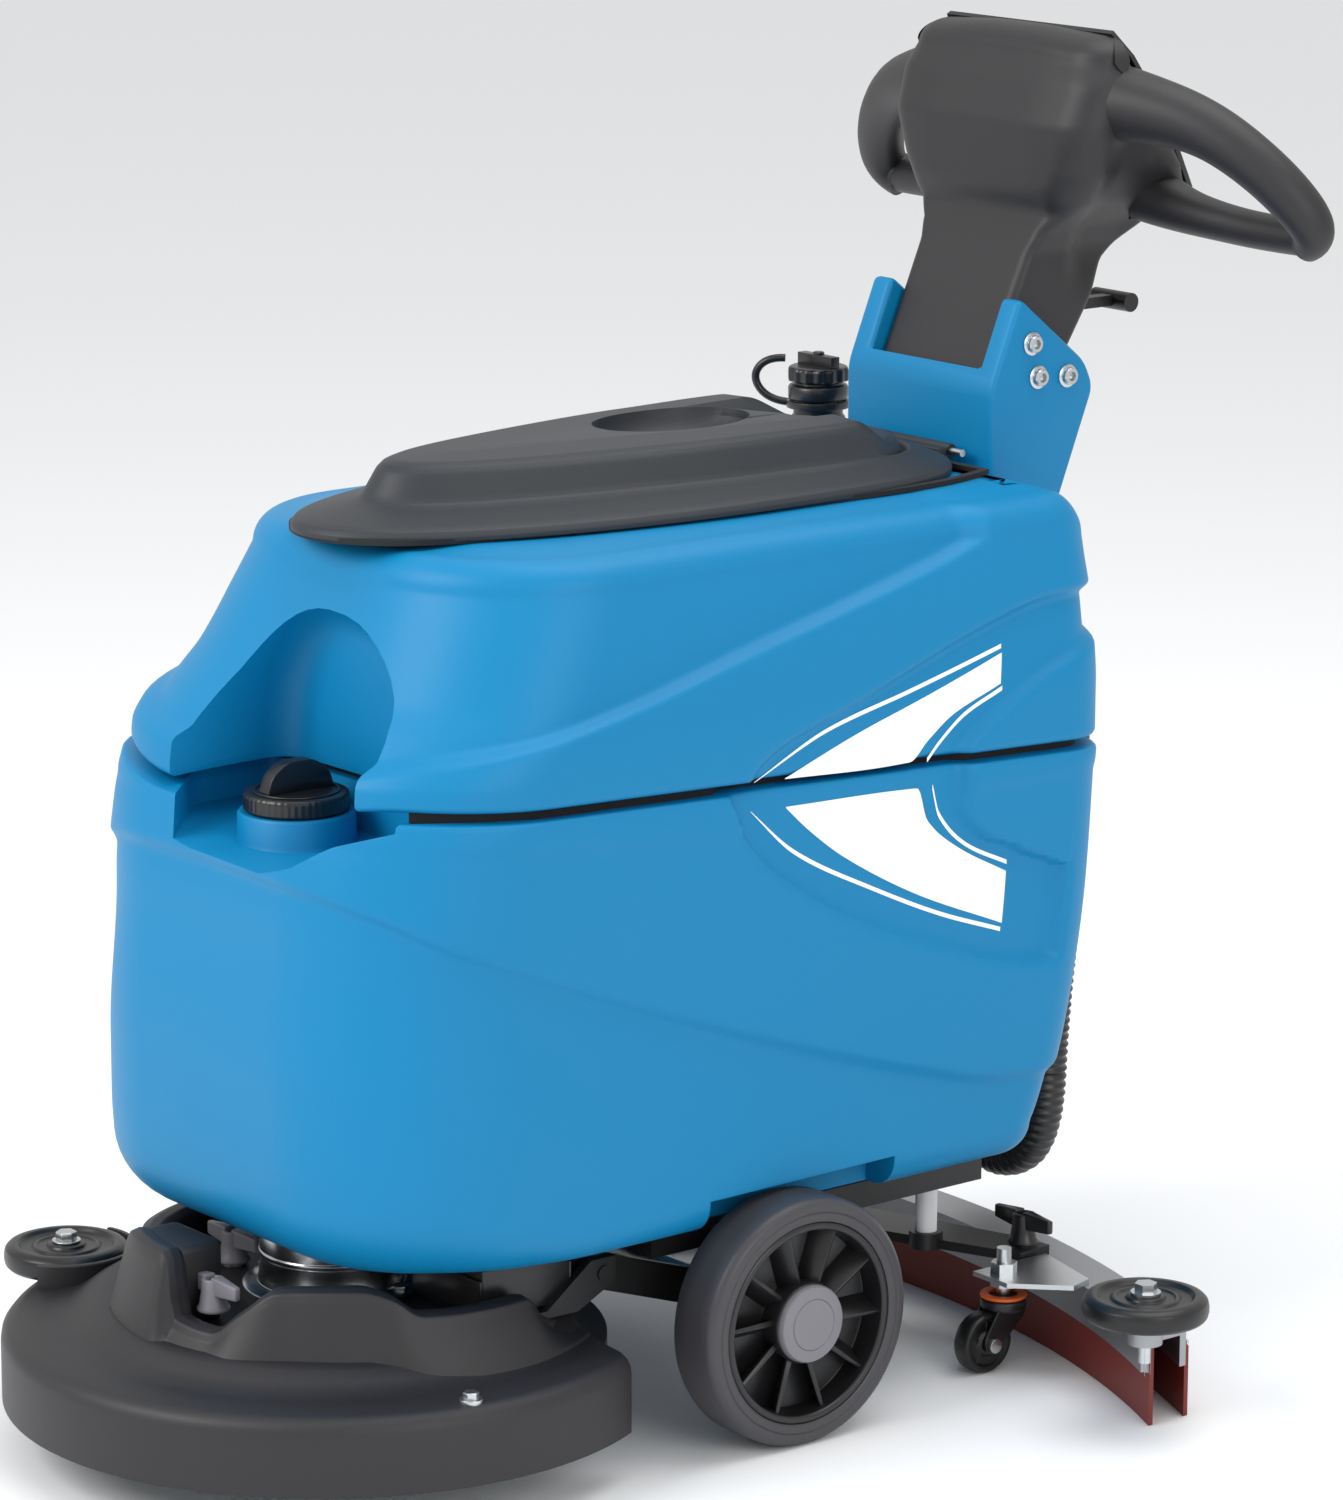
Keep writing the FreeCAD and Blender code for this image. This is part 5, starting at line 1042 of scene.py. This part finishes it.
def stage(light):
    scene = bpy.context.scene
    floor = bpy.data.meshes.new("floor")
    bm = bmesh.new()
    bmesh.ops.create_grid(bm, x_segments=1, y_segments=1, size=30)
    bm.to_mesh(floor)
    bm.free()
    ground = bpy.data.objects.new("floor", floor)
    scene.collection.objects.link(ground)
    floor.materials.append(finish("pale_floor", "#f6f7f8", 0.9))
    world = scene.world or bpy.data.worlds.new("studio")
    scene.world = world
    world.use_nodes = True
    world.node_tree.nodes["Background"].inputs["Color"].default_value = (1, 1, 1, 1)
    world.node_tree.nodes["Background"].inputs["Strength"].default_value = light.surround
    scene.view_settings.view_transform = "Standard"
    target = Vector((0, 0, 0.5))
    for name, spot, size, power in (("key", (-0.6, -3.4, 2.9), 2.2, light.key),
                                    ("side", (3.6, -0.3, 1.8), 1.8, light.key * 0.3),
                                    ("top", (0.4, 0.8, 3.6), 2.6, light.key * 0.5)):
        lamp = bpy.data.lights.new(name, "AREA")
        lamp.size = size
        lamp.energy = power
        holder = bpy.data.objects.new(name, lamp)
        holder.location = spot
        holder.rotation_euler = (target - Vector(spot)).to_track_quat("-Z", "Y").to_euler()
        scene.collection.objects.link(holder)


def camera():
    right, up, back = (Vector(v) for v in ((0.6184, 0.7859, 0), (-0.1781, 0.1402, 0.9740),
                                           (0.7654, -0.6023, 0.2267)))
    lens = bpy.data.cameras.new("camera")
    lens.sensor_width = 36
    lens.lens = 143.2
    lens.shift_x, lens.shift_y = 0.0425, 0.009
    holder = bpy.data.objects.new("camera", lens)
    turned = Matrix((right, up, back)).transposed().to_4x4()
    holder.matrix_world = Matrix.Translation(Vector((0, AXLE_Y, 0.5)) + back * 4.7369) @ turned
    bpy.context.scene.collection.objects.link(holder)
    bpy.context.scene.camera = holder


# ---- settings, operators and panel --------------------------------------------------

class ScrubberSizes(bpy.types.PropertyGroup):
    crease: bpy.props.FloatProperty(name="Crease depth", description="Depth of the tanks' sculpted steps, mm",
                                    default=CREASE, min=0, max=12)
    spokes: bpy.props.IntProperty(name="Wheel vanes", description="Vanes in each main wheel", default=10, min=3,
                                  max=20)
    hose_pitch: bpy.props.FloatProperty(name="Hose pitch", description="Distance from rib to rib, mm",
                                        default=7.0, min=3, max=20)


class ScrubberColours(bpy.types.PropertyGroup):
    tank: bpy.props.StringProperty(name="Tanks", description="Colour of the two tanks", default="#007bae")
    moulding: bpy.props.StringProperty(name="Mouldings", description="Colour of the deck and head",
                                       default="#1d1b1e")
    lid: bpy.props.StringProperty(name="Lid", description="Colour of the lid", default="#1f242a")
    tyre: bpy.props.StringProperty(name="Tyres", description="Colour of the tyres", default="#3e3d41")
    graphic: bpy.props.StringProperty(name="Bands", description="Colour of the side bands", default="#eef6f8")


class ScrubberLight(bpy.types.PropertyGroup):
    key: bpy.props.FloatProperty(name="Key light", description="Power of the main softbox, W", default=100, min=0)
    surround: bpy.props.FloatProperty(name="Surround", description="Brightness of the white surround",
                                      default=0.78, min=0)


def build(*makers):
    """Calls makers with the scene's sizes, once the finishes are mixed."""
    scene = bpy.context.scene
    if not PAINT:
        PAINT.update(finishes(scene.scrubber_colours))
    for make in makers:
        make(scene.scrubber_sizes)
    return {"FINISHED"}


class SCRUBBER_OT_stage(bpy.types.Operator):
    """Lay the floor, hang the lights and set the camera"""
    bl_idname = "scrubber.stage"
    bl_label = "Stage and camera"

    def execute(self, context):
        camera()
        stage(context.scene.scrubber_light)
        return {"FINISHED"}


class SCRUBBER_OT_drain(bpy.types.Operator):
    """Hang the drain hose with its cuff, strap and cap"""
    bl_idname = "scrubber.drain"
    bl_label = "Drain hose and caps"

    def execute(self, context):
        return build(drain)


class SCRUBBER_OT_tanks(bpy.types.Operator):
    """Mould the two tanks and print their side bands"""
    bl_idname = "scrubber.tanks"
    bl_label = "Tanks"

    def execute(self, context):
        return build(lower_tank, upper_tank, side_bands)


class SCRUBBER_OT_lid(bpy.types.Operator):
    """Mould the lid with its grip and hinge"""
    bl_idname = "scrubber.lid"
    bl_label = "Lid"

    def execute(self, context):
        return build(lid)


class SCRUBBER_OT_handle(bpy.types.Operator):
    """Mould the column, head and looped grips"""
    bl_idname = "scrubber.handle"
    bl_label = "Handle"

    def execute(self, context):
        return build(column, head, grips)


class SCRUBBER_OT_deck(bpy.types.Operator):
    """Mould the deck and make its drive and brush"""
    bl_idname = "scrubber.deck"
    bl_label = "Brush deck"

    def execute(self, context):
        return build(deck, drive, brush)


class SCRUBBER_OT_wheels(bpy.types.Operator):
    """Turn the main wheels and bumper rollers"""
    bl_idname = "scrubber.wheels"
    bl_label = "Wheels and rollers"

    def execute(self, context):
        return build(main_wheels, rollers)


class SCRUBBER_OT_squeegee(bpy.types.Operator):
    """Make the squeegee's knobs and casters"""
    bl_idname = "scrubber.squeegee"
    bl_label = "Squeegee fittings"

    def execute(self, context):
        return build(knobs, casters)


class SCRUBBER_OT_finishes(bpy.types.Operator):
    """Give every plain part the finish of its material slot"""
    bl_idname = "scrubber.finishes"
    bl_label = "Part finishes"

    def execute(self, context):
        return build(plain_parts)


OPERATORS = (SCRUBBER_OT_stage, SCRUBBER_OT_drain, SCRUBBER_OT_tanks, SCRUBBER_OT_lid, SCRUBBER_OT_handle,
             SCRUBBER_OT_deck, SCRUBBER_OT_wheels, SCRUBBER_OT_squeegee, SCRUBBER_OT_finishes)


class SCRUBBER_PT_panel(bpy.types.Panel):
    """Lists the machine's makers and sizes"""
    bl_label = "Floor scrubber"
    bl_idname = "SCRUBBER_PT_panel"
    bl_space_type = "VIEW_3D"
    bl_region_type = "UI"
    bl_category = "Scrubber"

    def draw(self, context):
        for group in (context.scene.scrubber_sizes, context.scene.scrubber_colours, context.scene.scrubber_light):
            for name in group.bl_rna.properties.keys():
                if name not in ("rna_type", "name"):
                    self.layout.prop(group, name)
        for operator in OPERATORS:
            self.layout.operator(operator.bl_idname)


CLASSES = (ScrubberSizes, ScrubberColours, ScrubberLight, *OPERATORS, SCRUBBER_PT_panel)


def register():
    for made in CLASSES:
        bpy.utils.register_class(made)
    bpy.types.Scene.scrubber_sizes = bpy.props.PointerProperty(type=ScrubberSizes)
    bpy.types.Scene.scrubber_colours = bpy.props.PointerProperty(type=ScrubberColours)
    bpy.types.Scene.scrubber_light = bpy.props.PointerProperty(type=ScrubberLight)


def unregister():
    del bpy.types.Scene.scrubber_light
    del bpy.types.Scene.scrubber_colours
    del bpy.types.Scene.scrubber_sizes
    for made in reversed(CLASSES):
        bpy.utils.unregister_class(made)


def main():
    register()
    for operator in OPERATORS:
        getattr(bpy.ops.scrubber, operator.bl_idname.split(".")[1])()


if __name__ == "__main__":
    main()
